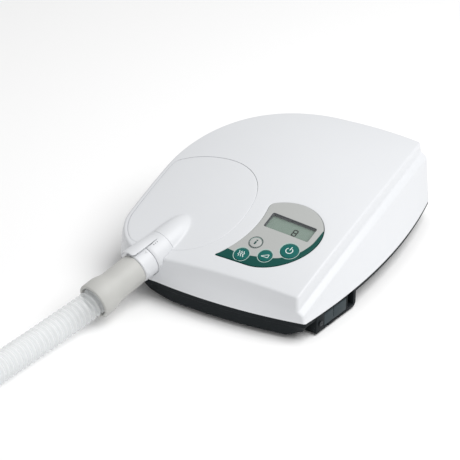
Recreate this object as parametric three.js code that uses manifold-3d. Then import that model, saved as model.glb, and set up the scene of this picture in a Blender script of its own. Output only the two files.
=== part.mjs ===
// A bedside positive-airway-pressure ventilator with its breathing hose, in millimetres, +Z up.
// The case frame: x runs to the right, y to the back, z up from the table, and (0, 0) is the front
// right corner of the case's lower edge. The last lines move the whole so that the device stands
// centred over the origin.
import * as THREE from "three";
import { mergeVertices } from "three/addons/utils/BufferGeometryUtils.js";
import Module from "manifold-3d";

const wasm = await Module();
wasm.setup();

// ---------------------------------------------------------------- driving dimensions
const GAP = 0.3; // clearance between touching pieces
const WALL = 2.5; // wall of the mouldings
const SHELL_Z = 19; // lower edge of the white upper shell
const BASE_Z = 3; // underside of the dark base tray
const SIDE_TOP = 75; // height of the case's right rim at the back
const SIDE_DROP = 34; // how much lower that rim is at the front
const CROWN = 9.3; // how far the roof's middle rises over its rims
const DEPTH = 237; // the length over which the roof rises
const MIDDLE = new THREE.Vector2(-94, 122); // the roof's centre in plan
const HALF_WIDTH = 95;

// The two outlines that the upper shell is stretched between: its roof's rim and its lower edge.
const RIM = {
  left: -192, right: -8, rightBack: -2, front: 3, back: 241, sideBulge: 5, backBulge: 1.5,
  frontRight: 4, backRight: 7, backLeft: [118, 125], frontLeft: [42, 42],
};
const EDGE = {
  left: -202, right: 0.5, rightBack: 11, front: -1, back: 246, sideBulge: 11, backBulge: 1.5,
  frontRight: 4, backRight: 8, backLeft: [122, 129], frontLeft: [50, 48],
};
const LEDGE = { riser: 10, inner: 1.2, outer: 7, drop: 4.5 }; // the step along the right side

// The air outlet: a point on its axis at the seam of the side cover, and its direction outwards.
const OUTLET = { at: new THREE.Vector3(-148, 19, 40), out: new THREE.Vector3(-0.28, -0.93, -0.235) };
const BORE = 9.5; // radius of the air way
const COVER = { x: -150, y: 72, radius: 59.5, power: 2.25, left: -189.3, skirt: 7 };
const PANEL = { x: -57, y: 58.5, long: 42, short: 35, tilt: 45, hollow: 74.5, tip: [-97, 21] };
const WINDOW = { x: -48.5, y: 69.3, length: 42.5, width: 17, turn: -4 };
const BUTTONS = [
  { name: "info", x: -68, y: 43, radius: 5.3 },
  { name: "heater", x: -74, y: 28, radius: 6.4 },
  { name: "ramp", x: -54, y: 33, radius: 6.0 },
  { name: "power", x: -37, y: 45, radius: 7.9 },
];

// The filter compartment under the right side, in its own frame: x out of its face, y along it.
const BAY = { at: [4.5, 14], turn: -10.1, depth: 18, length: 57, bottom: 2, top: 18.6 };
const DOOR = { from: 11, to: 43, bottom: 4.4, top: 17, thick: 2 };
const NICHE = { from: 45, to: 53.5, bottom: 5, top: 17, depth: 9 };

const BLOWER = { x: -124, y: 150, radius: 36, bottom: 6, top: 43 };
const DUCT_END = -14; // where the outlet duct stops on the outlet's axis
const HOSE = { radius: 12.5, cuffFrom: 31.3, cuffTo: 81, cuffRadius: 13.9, cuffMouth: 16.3 };

// ---------------------------------------------------------------- colours
const paint = (color, roughness, metalness = 0) =>
  new THREE.MeshStandardMaterial({ color, roughness, metalness });
const white = () => paint(0xeceef1, 0.42);
const charcoal = () => paint(0x2b3134, 0.5);
const silverGrey = () => paint(0xbababa, 0.4);
const teal = () => paint(0x17635d, 0.45);
const steel = () => paint(0xb9bcbe, 0.3, 1);
const rubber = () => paint(0x8d8f8e, 0.7);
const blackRubber = () => paint(0x1c1d1e, 0.85);
const board = () => paint(0x1f5a3c, 0.55);
const foam = () => paint(0x46494b, 0.95);
const clearPlastic = () => paint(0xe9eef0, 0.25);

// ---------------------------------------------------------------- solids
const device = new THREE.Group();
const hose = new THREE.Group();

function bare(geometry) {
  const plain = geometry.index ? geometry.toNonIndexed() : geometry;
  const only = new THREE.BufferGeometry().setAttribute("position", plain.getAttribute("position"));
  return mergeVertices(only, 1e-4);
}

function toSolid(geometry) {
  const g = bare(geometry);
  const vertProperties = new Float32Array(g.attributes.position.array);
  const triVerts = new Uint32Array(g.index.array);
  return new wasm.Manifold(new wasm.Mesh({ numProp: 3, vertProperties, triVerts }));
}

function toGeometry(solid) {
  const mesh = solid.getMesh();
  const geometry = new THREE.BufferGeometry();
  geometry.setAttribute("position", new THREE.BufferAttribute(mesh.vertProperties, 3));
  geometry.setIndex(new THREE.BufferAttribute(mesh.triVerts, 1));
  return geometry;
}

const join = (first, ...more) =>
  toGeometry(more.reduce((sum, g) => sum.add(toSolid(g)), toSolid(first)));
const cut = (first, ...tools) =>
  toGeometry(tools.reduce((rest, g) => rest.subtract(toSolid(g)), toSolid(first)));

function add(name, geometry, material, parent = device) {
  const mesh = new THREE.Mesh(geometry, material);
  mesh.name = name;
  geometry.computeVertexNormals();
  parent.add(mesh);
  return mesh;
}

function box(x0, x1, y0, y1, z0, z1) {
  const g = new THREE.BoxGeometry(x1 - x0, y1 - y0, z1 - z0);
  return g.translate((x0 + x1) / 2, (y0 + y1) / 2, (z0 + z1) / 2);
}

// A cylinder or cone frustum along z, from z0 with radius r0 to z1 with radius r1.
function post(x, y, z0, z1, r0, r1 = r0, sides = 24) {
  const g = new THREE.CylinderGeometry(r1, r0, z1 - z0, sides);
  return g.rotateX(Math.PI / 2).translate(x, y, (z0 + z1) / 2);
}

function prism(points, z0, z1) {
  const shape = new THREE.Shape(points);
  const g = new THREE.ExtrudeGeometry(shape, { depth: z1 - z0, bevelEnabled: false });
  return g.translate(0, 0, z0);
}

function circle(radius, sides) {
  return new THREE.Shape().setFromPoints(
    Array.from({ length: sides }, (_, i) => {
      const a = (2 * Math.PI * i) / sides;
      return new THREE.Vector2(radius * Math.cos(a), radius * Math.sin(a));
    }),
  );
}

// A round bar along a smooth curve.
function rod(curve, radius, steps, sides = 10) {
  const options = { extrudePath: curve, steps, bevelEnabled: false };
  return new THREE.ExtrudeGeometry(circle(radius, sides), options);
}

// A pipe along a smooth curve, open at both ends.
function pipe(curve, outer, inner, steps, sides = 12) {
  return cut(rod(curve, outer, steps, sides), stretched(curve, inner, steps, sides));
}

// The pipe's hollow, a little longer than the curve at both ends.
function stretched(curve, radius, steps, sides) {
  const more = 0.5;
  const points = curve.getPoints(steps);
  const head = curve.getTangent(0).multiplyScalar(-more).add(points[0]);
  const tail = curve.getTangent(1).multiplyScalar(more).add(points[steps]);
  const longer = new THREE.CatmullRomCurve3([head, ...points, tail]);
  return rod(longer, radius, steps + 2, sides);
}

// ---------------------------------------------------------------- the case's outer form
// Height of the roof over a place in plan: the sides rise to the back, the middle is crowned.
function roof(x, y) {
  const toBack = (DEPTH - y) / (DEPTH - 6);
  const along = y / DEPTH;
  const across = (x - MIDDLE.x) / HALF_WIDTH;
  const crown = CROWN * (1 - ((along - 0.6) / 0.6) ** 2) * (1 - across * across);
  return SIDE_TOP - SIDE_DROP * toBack * toBack + crown;
}

// The roof's upward normal.
function roofNormal(x, y) {
  const step = 0.5;
  const slopeX = (roof(x + step, y) - roof(x - step, y)) / (2 * step);
  const slopeY = (roof(x, y + step) - roof(x, y - step)) / (2 * step);
  return new THREE.Vector3(-slopeX, -slopeY, 1).normalize();
}

// A closed outline, counter-clockwise from the left end of the front, always with the same
// number of points on each stretch, so that two outlines can be joined point by point.
function outline(o) {
  const points = [];
  const run = (x0, y0, x1, y1, count, bulgeX = 0, bulgeY = 0) => {
    for (let i = 0; i < count; i++) {
      const t = i / count;
      const swell = 4 * t * (1 - t);
      const x = x0 + (x1 - x0) * t + bulgeX * swell;
      const y = y0 + (y1 - y0) * t + bulgeY * swell;
      points.push(new THREE.Vector2(x, y));
    }
  };
  const corner = (cx, cy, rx, ry, quarter, count) => {
    for (let i = 0; i < count; i++) {
      const a = (Math.PI / 2) * (quarter + i / count);
      points.push(new THREE.Vector2(cx + rx * Math.cos(a), cy + ry * Math.sin(a)));
    }
  };
  const [bx, by] = o.backLeft;
  const [fx, fy] = o.frontLeft;
  const fr = o.frontRight;
  const br = o.backRight;
  run(o.left + fx, o.front, o.right - fr, o.front, 6);
  corner(o.right - fr, o.front + fr, fr, fr, -1, 2);
  run(o.right, o.front + fr, o.rightBack, o.back - br, 10, o.sideBulge);
  corner(o.rightBack - br, o.back - br, br, br, 0, 3);
  run(o.rightBack - br, o.back, o.left + bx, o.back, 4, 0, o.backBulge);
  corner(o.left + bx, o.back - by, bx, by, 1, 9);
  run(o.left, o.back - by, o.left, o.front + fy, 3);
  corner(o.left + fx, o.front + fy, fx, fy, 2, 7);
  return points;
}

// How much of the right side's step each outline point has: none on the front, all of it on the
// right side and round its back corner, fading out along the back.
const STEP_SHARE = outline(RIM).map((_, i) => {
  if (i < 7) return 0;
  if (i < 22) return 1;
  return i === 22 ? 0.5 : 0;
});

// The same outline, drawn smaller by some distance all round.
function shrunk(o, d) {
  const tightest = 2;
  return {
    ...o,
    left: o.left + d,
    right: o.right - d,
    rightBack: o.rightBack - d,
    front: o.front + d,
    back: o.back - d,
    frontRight: Math.max(o.frontRight - d, tightest),
    backRight: Math.max(o.backRight - d, tightest),
    backLeft: o.backLeft.map((r) => r - d),
    frontLeft: o.frontLeft.map((r) => r - d),
  };
}

// Each point of a closed outline, moved in square to it.
function inward(points, distance) {
  return points.map((p, i) => {
    const before = points[(i + points.length - 1) % points.length];
    const after = points[(i + 1) % points.length];
    const along = after.clone().sub(before).normalize();
    return new THREE.Vector2(p.x - along.y * distance, p.y + along.x * distance);
  });
}

const ROOF_RINGS = [0.86, 0.6, 0.3];

// The shell's surface as rings from its lower edge up to the roof's middle, moved in by some
// distance for its inner face.
function shellRings(inset) {
  const rim = inward(outline(RIM), inset);
  const edge = inward(outline(EDGE), inset);
  const ring = (place) => rim.map((r, i) => place(r, edge[i], STEP_SHARE[i]));
  const at = (r, e, share, plain, stepped, heightPlain, heightStepped) => {
    const reach = r.distanceTo(e);
    const part = plain * (1 - share) + (Math.min(stepped, reach * 0.9) / reach) * share;
    const z = heightPlain * (1 - share) + heightStepped * share;
    const p = r.clone().lerp(e, part);
    return new THREE.Vector3(p.x, p.y, z);
  };
  const top = (r) => roof(r.x, r.y) - inset;
  const innerZ = (r) => top(r) - LEDGE.riser;
  const outerZ = (r) => innerZ(r) - LEDGE.drop;
  const level = (r, part) => SHELL_Z + (top(r) - SHELL_Z) * part;
  const middle = (r) => (outerZ(r) + SHELL_Z) / 2;
  return [
    ring((r, e) => new THREE.Vector3(e.x, e.y, SHELL_Z)),
    ring((r, e, s) => at(r, e, s, 0.62, LEDGE.outer + 2, level(r, 0.3), middle(r))),
    ring((r, e, s) => at(r, e, s, 0.3, LEDGE.outer, level(r, 0.6), outerZ(r))),
    ring((r, e, s) => at(r, e, s, 0.1, LEDGE.inner, level(r, 0.85), innerZ(r))),
    ring((r) => new THREE.Vector3(r.x, r.y, top(r))),
    ...ROOF_RINGS.map((k) =>
      ring((r) => {
        const p = MIDDLE.clone().lerp(r, k);
        return new THREE.Vector3(p.x, p.y, roof(p.x, p.y) - inset);
      }),
    ),
  ];
}

// A moulding with an outer and an inner face, each given as rings that end in one peak.
function skin(outerRings, outerPeak, innerRings, innerPeak) {
  const vertices = [];
  const faces = [];
  const count = outerRings[0].length;
  const put = (v) => vertices.push(v) - 1;
  const layer = (rings, peak, flip) => {
    const start = rings.map((ring) => {
      const first = vertices.length;
      ring.forEach(put);
      return first;
    });
    const tip = put(peak);
    const face = (a, b, c) => faces.push(flip ? [a, c, b] : [a, b, c]);
    for (let i = 0; i < count; i++) {
      const j = (i + 1) % count;
      for (let k = 0; k + 1 < start.length; k++) {
        face(start[k] + i, start[k] + j, start[k + 1] + j);
        face(start[k] + i, start[k + 1] + j, start[k + 1] + i);
      }
      const last = start[start.length - 1];
      face(last + i, last + j, tip);
    }
    return start[0];
  };
  const outer = layer(outerRings, outerPeak, false);
  const inner = layer(innerRings, innerPeak, true);
  for (let i = 0; i < count; i++) {
    const j = (i + 1) % count;
    faces.push([inner + i, outer + j, outer + i]);
    faces.push([inner + i, inner + j, outer + j]);
  }
  return fromFaces(vertices, faces);
}

function fromFaces(vertices, faces) {
  const g = new THREE.BufferGeometry().setFromPoints(vertices);
  g.setIndex(faces.flat());
  return g;
}

const peak = (p, down) => new THREE.Vector3(p.x, p.y, roof(p.x, p.y) - down);

// ---------------------------------------------------------------- the outlet's frame
OUTLET.out.normalize();
const outletSide = new THREE.Vector3(0, 0, 1).cross(OUTLET.out).normalize();
const outletUp = OUTLET.out.clone().cross(outletSide);
const outletFrame = new THREE.Matrix4()
  .makeBasis(outletSide, outletUp, OUTLET.out)
  .setPosition(OUTLET.at);
const outletPoint = (s) => OUTLET.out.clone().multiplyScalar(s).add(OUTLET.at);
// A round bar or cone on the outlet's axis.
const onOutlet = (s0, s1, r0, r1 = r0, sides = 24) =>
  post(0, 0, s0, s1, r0, r1, sides).applyMatrix4(outletFrame);

// A turned piece on the outlet's axis, given as [radius, distance along the axis] pairs.
function turned(profile, sides = 20) {
  const points = profile.map(([r, s]) => new THREE.Vector2(r, s));
  const g = new THREE.LatheGeometry([...points, points[0].clone()], sides);
  return g.rotateX(Math.PI / 2);
}

// ---------------------------------------------------------------- side cover with its outlet
function coverOutline(grow) {
  const count = 36;
  return Array.from({ length: count }, (_, i) => {
    const a = (2 * Math.PI * i) / count;
    const c = Math.cos(a);
    const s = Math.sin(a);
    const bend = 2 / COVER.power;
    const r = COVER.radius + grow;
    const x = COVER.x + r * Math.sign(c) * Math.abs(c) ** bend;
    const y = COVER.y + r * Math.sign(s) * Math.abs(s) ** bend;
    return new THREE.Vector2(Math.max(x, COVER.left - grow), y);
  });
}

function sideCover() {
  const centre = new THREE.Vector2(COVER.x, COVER.y);
  const rings = (inset) => {
    const line = inward(coverOutline(-GAP), inset);
    const ring = (k, down) =>
      line.map((p) => {
        const q = centre.clone().lerp(p, k);
        return new THREE.Vector3(q.x, q.y, roof(q.x, q.y) - down);
      });
    const skirt = line.map((p) => new THREE.Vector3(p.x, p.y, roof(p.x, p.y) - COVER.skirt));
    return [skirt, ring(1, inset), ring(0.7, inset), ring(0.35, inset)];
  };
  const plate = skin(rings(0), peak(centre, 0), rings(WALL), peak(centre, WALL));
  const bulge = join(onOutlet(-20, 0, 12.9, 15.6), onOutlet(-46, -19.9, 7.3, 12.9));
  const bore = onOutlet(-15, -7, BORE);
  const sealSeat = onOutlet(-7.5, 1, BORE + 2.8);
  const ductSeat = rod(outletDuctPath, 12.2, 8, 12);
  const clearance = onOutlet(0, 60, 16.6);
  const leverRoom = tubeSector(0.4, 60, 14, 23, LEVER.middle - 36, LEVER.middle + 36);
  const cutters = [bore, sealSeat, ductSeat, clearance, leverRoom.applyMatrix4(outletFrame)];
  return cut(join(plate, bulge), ...cutters);
}

// ---------------------------------------------------------------- control panel
// The panel's outline: a tilted ellipse, closed on the left by a hollow arc that runs beside the
// side cover's seam and ends in a point at the lower left.
function panelOutline(grow) {
  const points = [];
  const tilt = THREE.MathUtils.degToRad(PANEL.tilt);
  const onEllipse = (angle) => {
    const c = (PANEL.long + grow) * Math.cos(angle - tilt);
    const s = (PANEL.short + grow) * Math.sin(angle - tilt);
    const x = PANEL.x + c * Math.cos(tilt) - s * Math.sin(tilt);
    const y = PANEL.y + c * Math.sin(tilt) + s * Math.cos(tilt);
    return new THREE.Vector2(x, y);
  };
  const arc = (angle) => {
    const r = PANEL.hollow - grow;
    return new THREE.Vector2(COVER.x + r * Math.cos(angle), COVER.y + r * Math.sin(angle));
  };
  const from = THREE.MathUtils.degToRad(-100);
  const to = THREE.MathUtils.degToRad(125);
  for (let i = 0; i <= 18; i++) points.push(onEllipse(from + ((to - from) * i) / 18));
  const high = THREE.MathUtils.degToRad(10);
  const low = THREE.MathUtils.degToRad(-42.5);
  for (let i = 0; i <= 6; i++) points.push(arc(high + ((low - high) * i) / 6));
  points.push(new THREE.Vector2(PANEL.tip[0] - grow, PANEL.tip[1] - grow));
  return points;
}

// A slab that follows the roof under a plan outline, between two depths below it.
function roofSlab(points, above, below) {
  const centre = new THREE.Vector2(PANEL.x, PANEL.y);
  const layer = (down) => [1, 0.5].map((k) =>
    points.map((p) => {
      const q = centre.clone().lerp(p, k);
      return new THREE.Vector3(q.x, q.y, roof(q.x, q.y) - down);
    }),
  );
  return skin(layer(-above), peak(centre, -above), layer(below), peak(centre, below));
}

// The frame of something that stands on the roof: z along the roof's normal.
function roofFrame(x, y, turn = 0) {
  const normal = roofNormal(x, y);
  const along = new THREE.Vector3(Math.cos(turn), Math.sin(turn), 0);
  along.addScaledVector(normal, -along.dot(normal)).normalize();
  const across = normal.clone().cross(along);
  return new THREE.Matrix4().makeBasis(along, across, normal).setPosition(x, y, roof(x, y));
}

const windowFrame = roofFrame(WINDOW.x, WINDOW.y, THREE.MathUtils.degToRad(WINDOW.turn));
const boardFrame = roofFrame(-56, 52);

function windowBlock(grow, z0, z1) {
  const a = WINDOW.length / 2 + grow;
  const b = WINDOW.width / 2 + grow;
  return box(-a, a, -b, b, z0, z1).applyMatrix4(windowFrame);
}

function controlPanel() {
  const holes = BUTTONS.map((b) =>
    post(0, 0, -8, 4, b.radius + 0.4).applyMatrix4(roofFrame(b.x, b.y)),
  );
  return cut(roofSlab(panelOutline(-2 * GAP), 0.5, WALL), windowBlock(0.2, -6, 6), ...holes);
}

// ---------------------------------------------------------------- upper shell
// Screw bosses inside the shell's wall: place in plan and height.
const SHELL_BOSSES = [[8, 196, 9], [-95, 240, 12], [-193.5, 118, 11], [-70, 14, 24]];

function upperShell() {
  const body = skin(shellRings(0), peak(MIDDLE, 0), shellRings(WALL), peak(MIDDLE, WALL));
  const bosses = SHELL_BOSSES.map(([x, y, h]) => post(x, y, SHELL_Z, SHELL_Z + h, 4.2, 4.2, 16));
  const screwHoles = SHELL_BOSSES.map(([x, y]) => post(x, y, SHELL_Z - 1, SHELL_Z + 8, 1.7, 1.7, 12));
  const coverHole = prism(coverOutline(0), 34, 100);
  const outletNotch = onOutlet(-70, 50, 16.9);
  const panelHole = prism(panelOutline(0), 30, 100);
  const inletHole = box(INLET.x - 14.3, INLET.x + 14.3, 225, 255, INLET.z - 10.3, INLET.z + 10.3);
  const portHole = box(PORT.x - 8.3, PORT.x + 8.3, 225, 255, PORT.z - 6.3, PORT.z + 6.3);
  const openings = [coverHole, outletNotch, panelHole, inletHole, portHole];
  return cut(join(body, ...bosses), ...screwHoles, ...openings);
}

// ---------------------------------------------------------------- sockets in the back wall
const INLET = { x: -40, z: 36 };
const PORT = { x: -84, z: 33 };
const BACK_FACE = 244.6;

function mainsInlet() {
  const body = box(INLET.x - 14, INLET.x + 14, 226, BACK_FACE, INLET.z - 10, INLET.z + 10);
  const socket = box(INLET.x - 11.5, INLET.x + 11.5, 230, 250, INLET.z - 7, INLET.z + 7);
  // Three flat pins, the earth pin set a little lower.
  const pin = (dx, low) => {
    const x = INLET.x + dx;
    const z = INLET.z - low;
    return box(x - 1, x + 1, 229, 238, z - 2, z + 2);
  };
  const pins = [pin(-7, 0), pin(0, 1.5), pin(7, 0)];
  return join(cut(body, socket), ...pins);
}

function servicePort() {
  const body = box(PORT.x - 8, PORT.x + 8, 228, BACK_FACE, PORT.z - 6, PORT.z + 6);
  return cut(body, box(PORT.x - 5.6, PORT.x + 5.6, 232, 250, PORT.z - 3.8, PORT.z + 3.8));
}

// ---------------------------------------------------------------- base tray
// Each ring of the hull: its height and how far it lies inside the shell's lower edge, at the
// front and along the other sides.
const HULL = [
  { front: [BASE_Z, 9], side: [BASE_Z, 17] },
  { front: [BASE_Z + 1.2, 4], side: [BASE_Z + 1.2, 14] },
  { front: [8, 1.6], side: [8, 12.5] },
  { front: [12.5, 1], side: [15.4, 10] },
  { front: [14, 1], side: [15.8, 1] },
  { front: [SHELL_Z - GAP, 1], side: [SHELL_Z - GAP, 1] },
];
const FRONT_SHARE = outline(EDGE).map((_, i) => (i < 9 || i > 42 ? 1 : 0));

function baseTray() {
  const edge = outline(EDGE);
  const rings = HULL.map(({ front, side }) => {
    const forFront = outline(shrunk(EDGE, front[1]));
    const forSide = outline(shrunk(EDGE, side[1]));
    return edge.map((_, i) => {
      const share = FRONT_SHARE[i];
      const p = forSide[i].clone().lerp(forFront[i], share);
      return new THREE.Vector3(p.x, p.y, side[0] + (front[0] - side[0]) * share);
    });
  });
  const hull = lofted(rings);
  const hollow = prism(outline(shrunk(EDGE, 21)), BASE_Z + WALL, 40);
  const standoffs = BOARD_POSTS.map(([x, y]) => post(x, y, BASE_Z + 1, BOARD_Z - GAP, 3.2, 3.2, 16));
  const bay = bayBox(GAP);
  const intake = box(-40, -5, 38, 50, 7, 16);
  const screwHoles = SHELL_BOSSES.map(([x, y]) => post(x, y, 1, 30, 2.1, 2.1, 12));
  const headHoles = SHELL_BOSSES.map(([x, y]) => post(x, y, 1, HEAD_Z + GAP, 4, 4, 16));
  const footSeats = FEET.map(([x, y]) => post(x, y, 1, BASE_Z + 1, 8.3, 8.3, 24));
  const holes = [bay, intake, ...screwHoles, ...headHoles, ...footSeats];
  return cut(join(cut(hull, hollow), ...standoffs), ...holes);
}

// A solid through rings of equal length, closed flat at both ends.
function lofted(rings) {
  const vertices = rings.flat();
  const n = rings[0].length;
  const faces = [];
  for (let k = 0; k + 1 < rings.length; k++) {
    for (let i = 0; i < n; i++) {
      const j = (i + 1) % n;
      faces.push([k * n + i, k * n + j, (k + 1) * n + j]);
      faces.push([k * n + i, (k + 1) * n + j, (k + 1) * n + i]);
    }
  }
  const centreOf = (ring) =>
    ring.reduce((sum, p) => sum.add(p), new THREE.Vector3()).multiplyScalar(1 / n);
  const low = vertices.push(centreOf(rings[0])) - 1;
  const high = vertices.push(centreOf(rings[rings.length - 1])) - 1;
  const last = (rings.length - 1) * n;
  for (let i = 0; i < n; i++) {
    const j = (i + 1) % n;
    faces.push([low, j, i]);
    faces.push([high, last + i, last + j]);
  }
  return fromFaces(vertices, faces);
}

const FEET = [[-150, 36], [-26, 34], [-40, 212], [-150, 186]];
const HEAD_Z = 15.1; // underside of the case screws' seats
const BOARD_Z = 12;
const BOARD_POSTS = [[-78, 108], [-30, 108], [-30, 212], [-78, 212]];

function screw(x, y) {
  const head = post(x, y, HEAD_Z - 2.4, HEAD_Z, 3.3, 3.3, 16);
  const slot = box(x - 2.4, x + 2.4, y - 0.5, y + 0.5, HEAD_Z - 3, HEAD_Z - 1.4);
  const shank = post(x, y, HEAD_Z - 0.2, SHELL_Z + 7, 1.4, 1.4, 12);
  return cut(join(head, shank), slot);
}

// ---------------------------------------------------------------- filter compartment
const bayFrame = new THREE.Matrix4()
  .makeRotationZ(THREE.MathUtils.degToRad(BAY.turn))
  .setPosition(BAY.at[0], BAY.at[1], 0);
const inBay = (geometry) => geometry.applyMatrix4(bayFrame);
const bayBox = (grow) =>
  inBay(box(-BAY.depth - grow, 12, -grow, BAY.length + grow, BAY.bottom - 5, BAY.top + 5));
const HINGE = { x: -1.3, z: DOOR.bottom + 0.9, radius: 0.6 };
const DOOR_MID = (DOOR.from + DOOR.to) / 2;

// A bar along the compartment's face.
function faceBar(y0, y1, x, z, radius, sides = 12) {
  const g = new THREE.CylinderGeometry(radius, radius, y1 - y0, sides);
  return g.translate(x, (y0 + y1) / 2, z);
}

// A round bar square to the compartment's face, where its screw is.
function crossBar(x0, x1, radius, sides) {
  const g = new THREE.CylinderGeometry(radius, radius, x1 - x0, sides).rotateZ(Math.PI / 2);
  return g.translate((x0 + x1) / 2, 5, 10.5);
}

function compartment() {
  const block = box(-BAY.depth, 0, 0, BAY.length, BAY.bottom, BAY.top);
  const doorway = box(-3, 2, DOOR.from - GAP, DOOR.to + GAP, DOOR.bottom - 0.6, DOOR.top + GAP);
  const chamber = box(-13.5, -2, DOOR.from + 2, DOOR.to - 2, DOOR.bottom + 1, DOOR.top - 1);
  const niche = box(-NICHE.depth, 2, NICHE.from, NICHE.to, NICHE.bottom, NICHE.top);
  const airWay = box(-25, -12, 19, 35, 7, 14);
  const pinHole = faceBar(DOOR.from - 4, DOOR.to + 4, HINGE.x, HINGE.z, HINGE.radius + GAP);
  const screwHole = crossBar(-11, 1, 1.3, 12);
  return inBay(cut(block, doorway, chamber, niche, airWay, pinHole, screwHole));
}

function filterDoor() {
  const leaf = box(-DOOR.thick, 0, DOOR.from + 0.2, DOOR.to - 0.2, DOOR.bottom + 0.3, DOOR.top - 0.1);
  const heel = faceBar(DOOR.from + 0.2, DOOR.to - 0.2, HINGE.x, HINGE.z, 1.3, 16);
  const hole = faceBar(DOOR.from - 1, DOOR.to + 1, HINGE.x, HINGE.z, HINGE.radius + 0.15);
  const nib = box(-DOOR.thick, 0, DOOR.to - 1.5, DOOR.to - 0.2, 12, 16);
  const groove = box(-0.5, 1, DOOR_MID - 3.2, DOOR_MID - 2.6, DOOR.bottom + 3, DOOR.top + 1);
  return inBay(cut(join(leaf, heel, nib), hole, groove));
}

function filterPad(x0, x1) {
  return inBay(box(x0, x1, DOOR.from + 2.4, DOOR.to - 2.4, DOOR.bottom + 1.4, DOOR.top - 1.4));
}

function compartmentScrew() {
  const head = crossBar(0.3, 1.5, 2.3, 20);
  const shank = crossBar(-8.1, 0.9, 1, 12);
  const slot = box(0.8, 3, 2, 8, 10.2, 10.8);
  return inBay(cut(join(head, shank), slot));
}

// ---------------------------------------------------------------- outlet pieces
const LEVER = { from: 2.5, to: 32, inner: 17.4, outer: 19.6, middle: 122, half: 23, pinAt: 5 };

// A piece of a tube wall along the outlet's axis, between two angles (in degrees).
function tubeSector(s0, s1, inner, outer, from, to) {
  const shape = new THREE.Shape();
  const a = THREE.MathUtils.degToRad(from);
  const b = THREE.MathUtils.degToRad(to);
  shape.absarc(0, 0, outer, a, b, false);
  shape.absarc(0, 0, inner, b, a, true);
  const g = new THREE.ExtrudeGeometry(shape, { depth: s1 - s0, bevelEnabled: false, curveSegments: 8 });
  return g.translate(0, 0, s0);
}

// Across the lever at its pin: a bar square to the axis.
function leverBar(length, radius, sides) {
  const g = new THREE.CylinderGeometry(radius, radius, length, sides);
  g.translate(0, 0, LEVER.pinAt);
  g.translate((LEVER.inner + LEVER.outer) / 2, 0, 0);
  return g.rotateZ(THREE.MathUtils.degToRad(LEVER.middle));
}

function outletCollar() {
  const ring = turned([[BORE + 2, 0.4], [15.5, 0.4], [15, 12], [BORE + 2, 12]]);
  const ear = (side) => {
    const g = box(12, 19.9, side - 0.9, side + 0.9, 2.8, 7.2);
    return g.rotateZ(THREE.MathUtils.degToRad(LEVER.middle));
  };
  const ears = join(ring, ear(-8.6), ear(8.6));
  const airWay = post(0, 0, 0, 14, BORE + 2, BORE + 2, 20);
  return cut(ears, leverBar(30, 1.0, 16), airWay).applyMatrix4(outletFrame);
}

function releaseLever() {
  const { from, to, inner, outer, middle, half } = LEVER;
  const tab = tubeSector(from, to, inner, outer, middle - half, middle + half);
  const relief = (side) => {
    const g = box(10, 24, side - 1.3, side + 1.3, 0, 7.8);
    return g.rotateZ(THREE.MathUtils.degToRad(LEVER.middle));
  };
  return cut(tab, leverBar(30, 1.0, 16), relief(-8.6), relief(8.6)).applyMatrix4(outletFrame);
}

function outletConnector() {
  const spigot = [[BORE, -6], [BORE + 1.6, -6], [BORE + 1.6, 12.4]];
  const ring = [[14.4, 12.4], [14.1, 31]];
  const cone = [[11, 31], [10.9, 54], [BORE, 54]];
  return turned([...spigot, ...ring, ...cone]).applyMatrix4(outletFrame);
}

function sealRing() {
  const inner = BORE + 1.9;
  const outer = BORE + 2.5;
  return turned([[inner, -4], [outer, -4], [outer, -1.5], [inner, -1.5]]).applyMatrix4(outletFrame);
}

function cuffProfile(s0, s1) {
  const grip = s1 - 22;
  return [
    [11.3, s0], [HOSE.cuffRadius - 0.7, s0], [HOSE.cuffRadius, s0 + 0.8], [HOSE.cuffRadius, grip],
    [HOSE.cuffMouth, s1 - 12], [HOSE.cuffMouth, s1], [13.6, s1], [13.6, s1 - 6], [12.8, s1 - 6],
    [11.3, s1 - 20],
  ];
}

// ---------------------------------------------------------------- the hose's route
const TABLE = HOSE.radius + 0.2;
const COIL = { x: -120.3, y: -453.9, radius: 125, entry: 169.3 };
const ROUTE = [
  outletPoint(HOSE.cuffTo + 0.4),
  outletPoint(HOSE.cuffTo + 12),
  new THREE.Vector3(-180.5, -91, 15.2),
  new THREE.Vector3(-187, -121, 13),
  new THREE.Vector3(-192, -150, TABLE),
  new THREE.Vector3(-197, -182, TABLE),
  new THREE.Vector3(-203, -219, TABLE),
  new THREE.Vector3(-224.4, -332, TABLE),
  coilPoint(0, TABLE),
];

function coilPoint(turn, z) {
  const a = THREE.MathUtils.degToRad(COIL.entry + turn);
  return new THREE.Vector3(COIL.x + COIL.radius * Math.cos(a), COIL.y + COIL.radius * Math.sin(a), z);
}

function coilRing(grow) {
  const inner = COIL.radius - HOSE.radius - grow;
  const outer = COIL.radius + HOSE.radius + grow;
  const low = 0.1 - grow;
  const high = 2 * HOSE.radius + 0.3 + grow;
  const profile = [[inner, low], [outer, low], [outer, high], [inner, high], [inner, low]];
  const points = profile.map(([r, z]) => new THREE.Vector2(r, z));
  return new THREE.LatheGeometry(points, 48).rotateX(Math.PI / 2).translate(COIL.x, COIL.y, 0);
}

// The hose's second turn lies on top of the first.
const TOP_Z = 2 * HOSE.radius + 0.3 + GAP + HOSE.radius;
const END = { from: 350, to: 604 }; // degrees since the hose reached the coil
function endPath() {
  const count = 20;
  return new THREE.CatmullRomCurve3(
    Array.from({ length: count + 1 }, (_, i) =>
      coilPoint(END.from + ((END.to - END.from) * i) / count, TOP_Z),
    ),
  );
}

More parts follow.
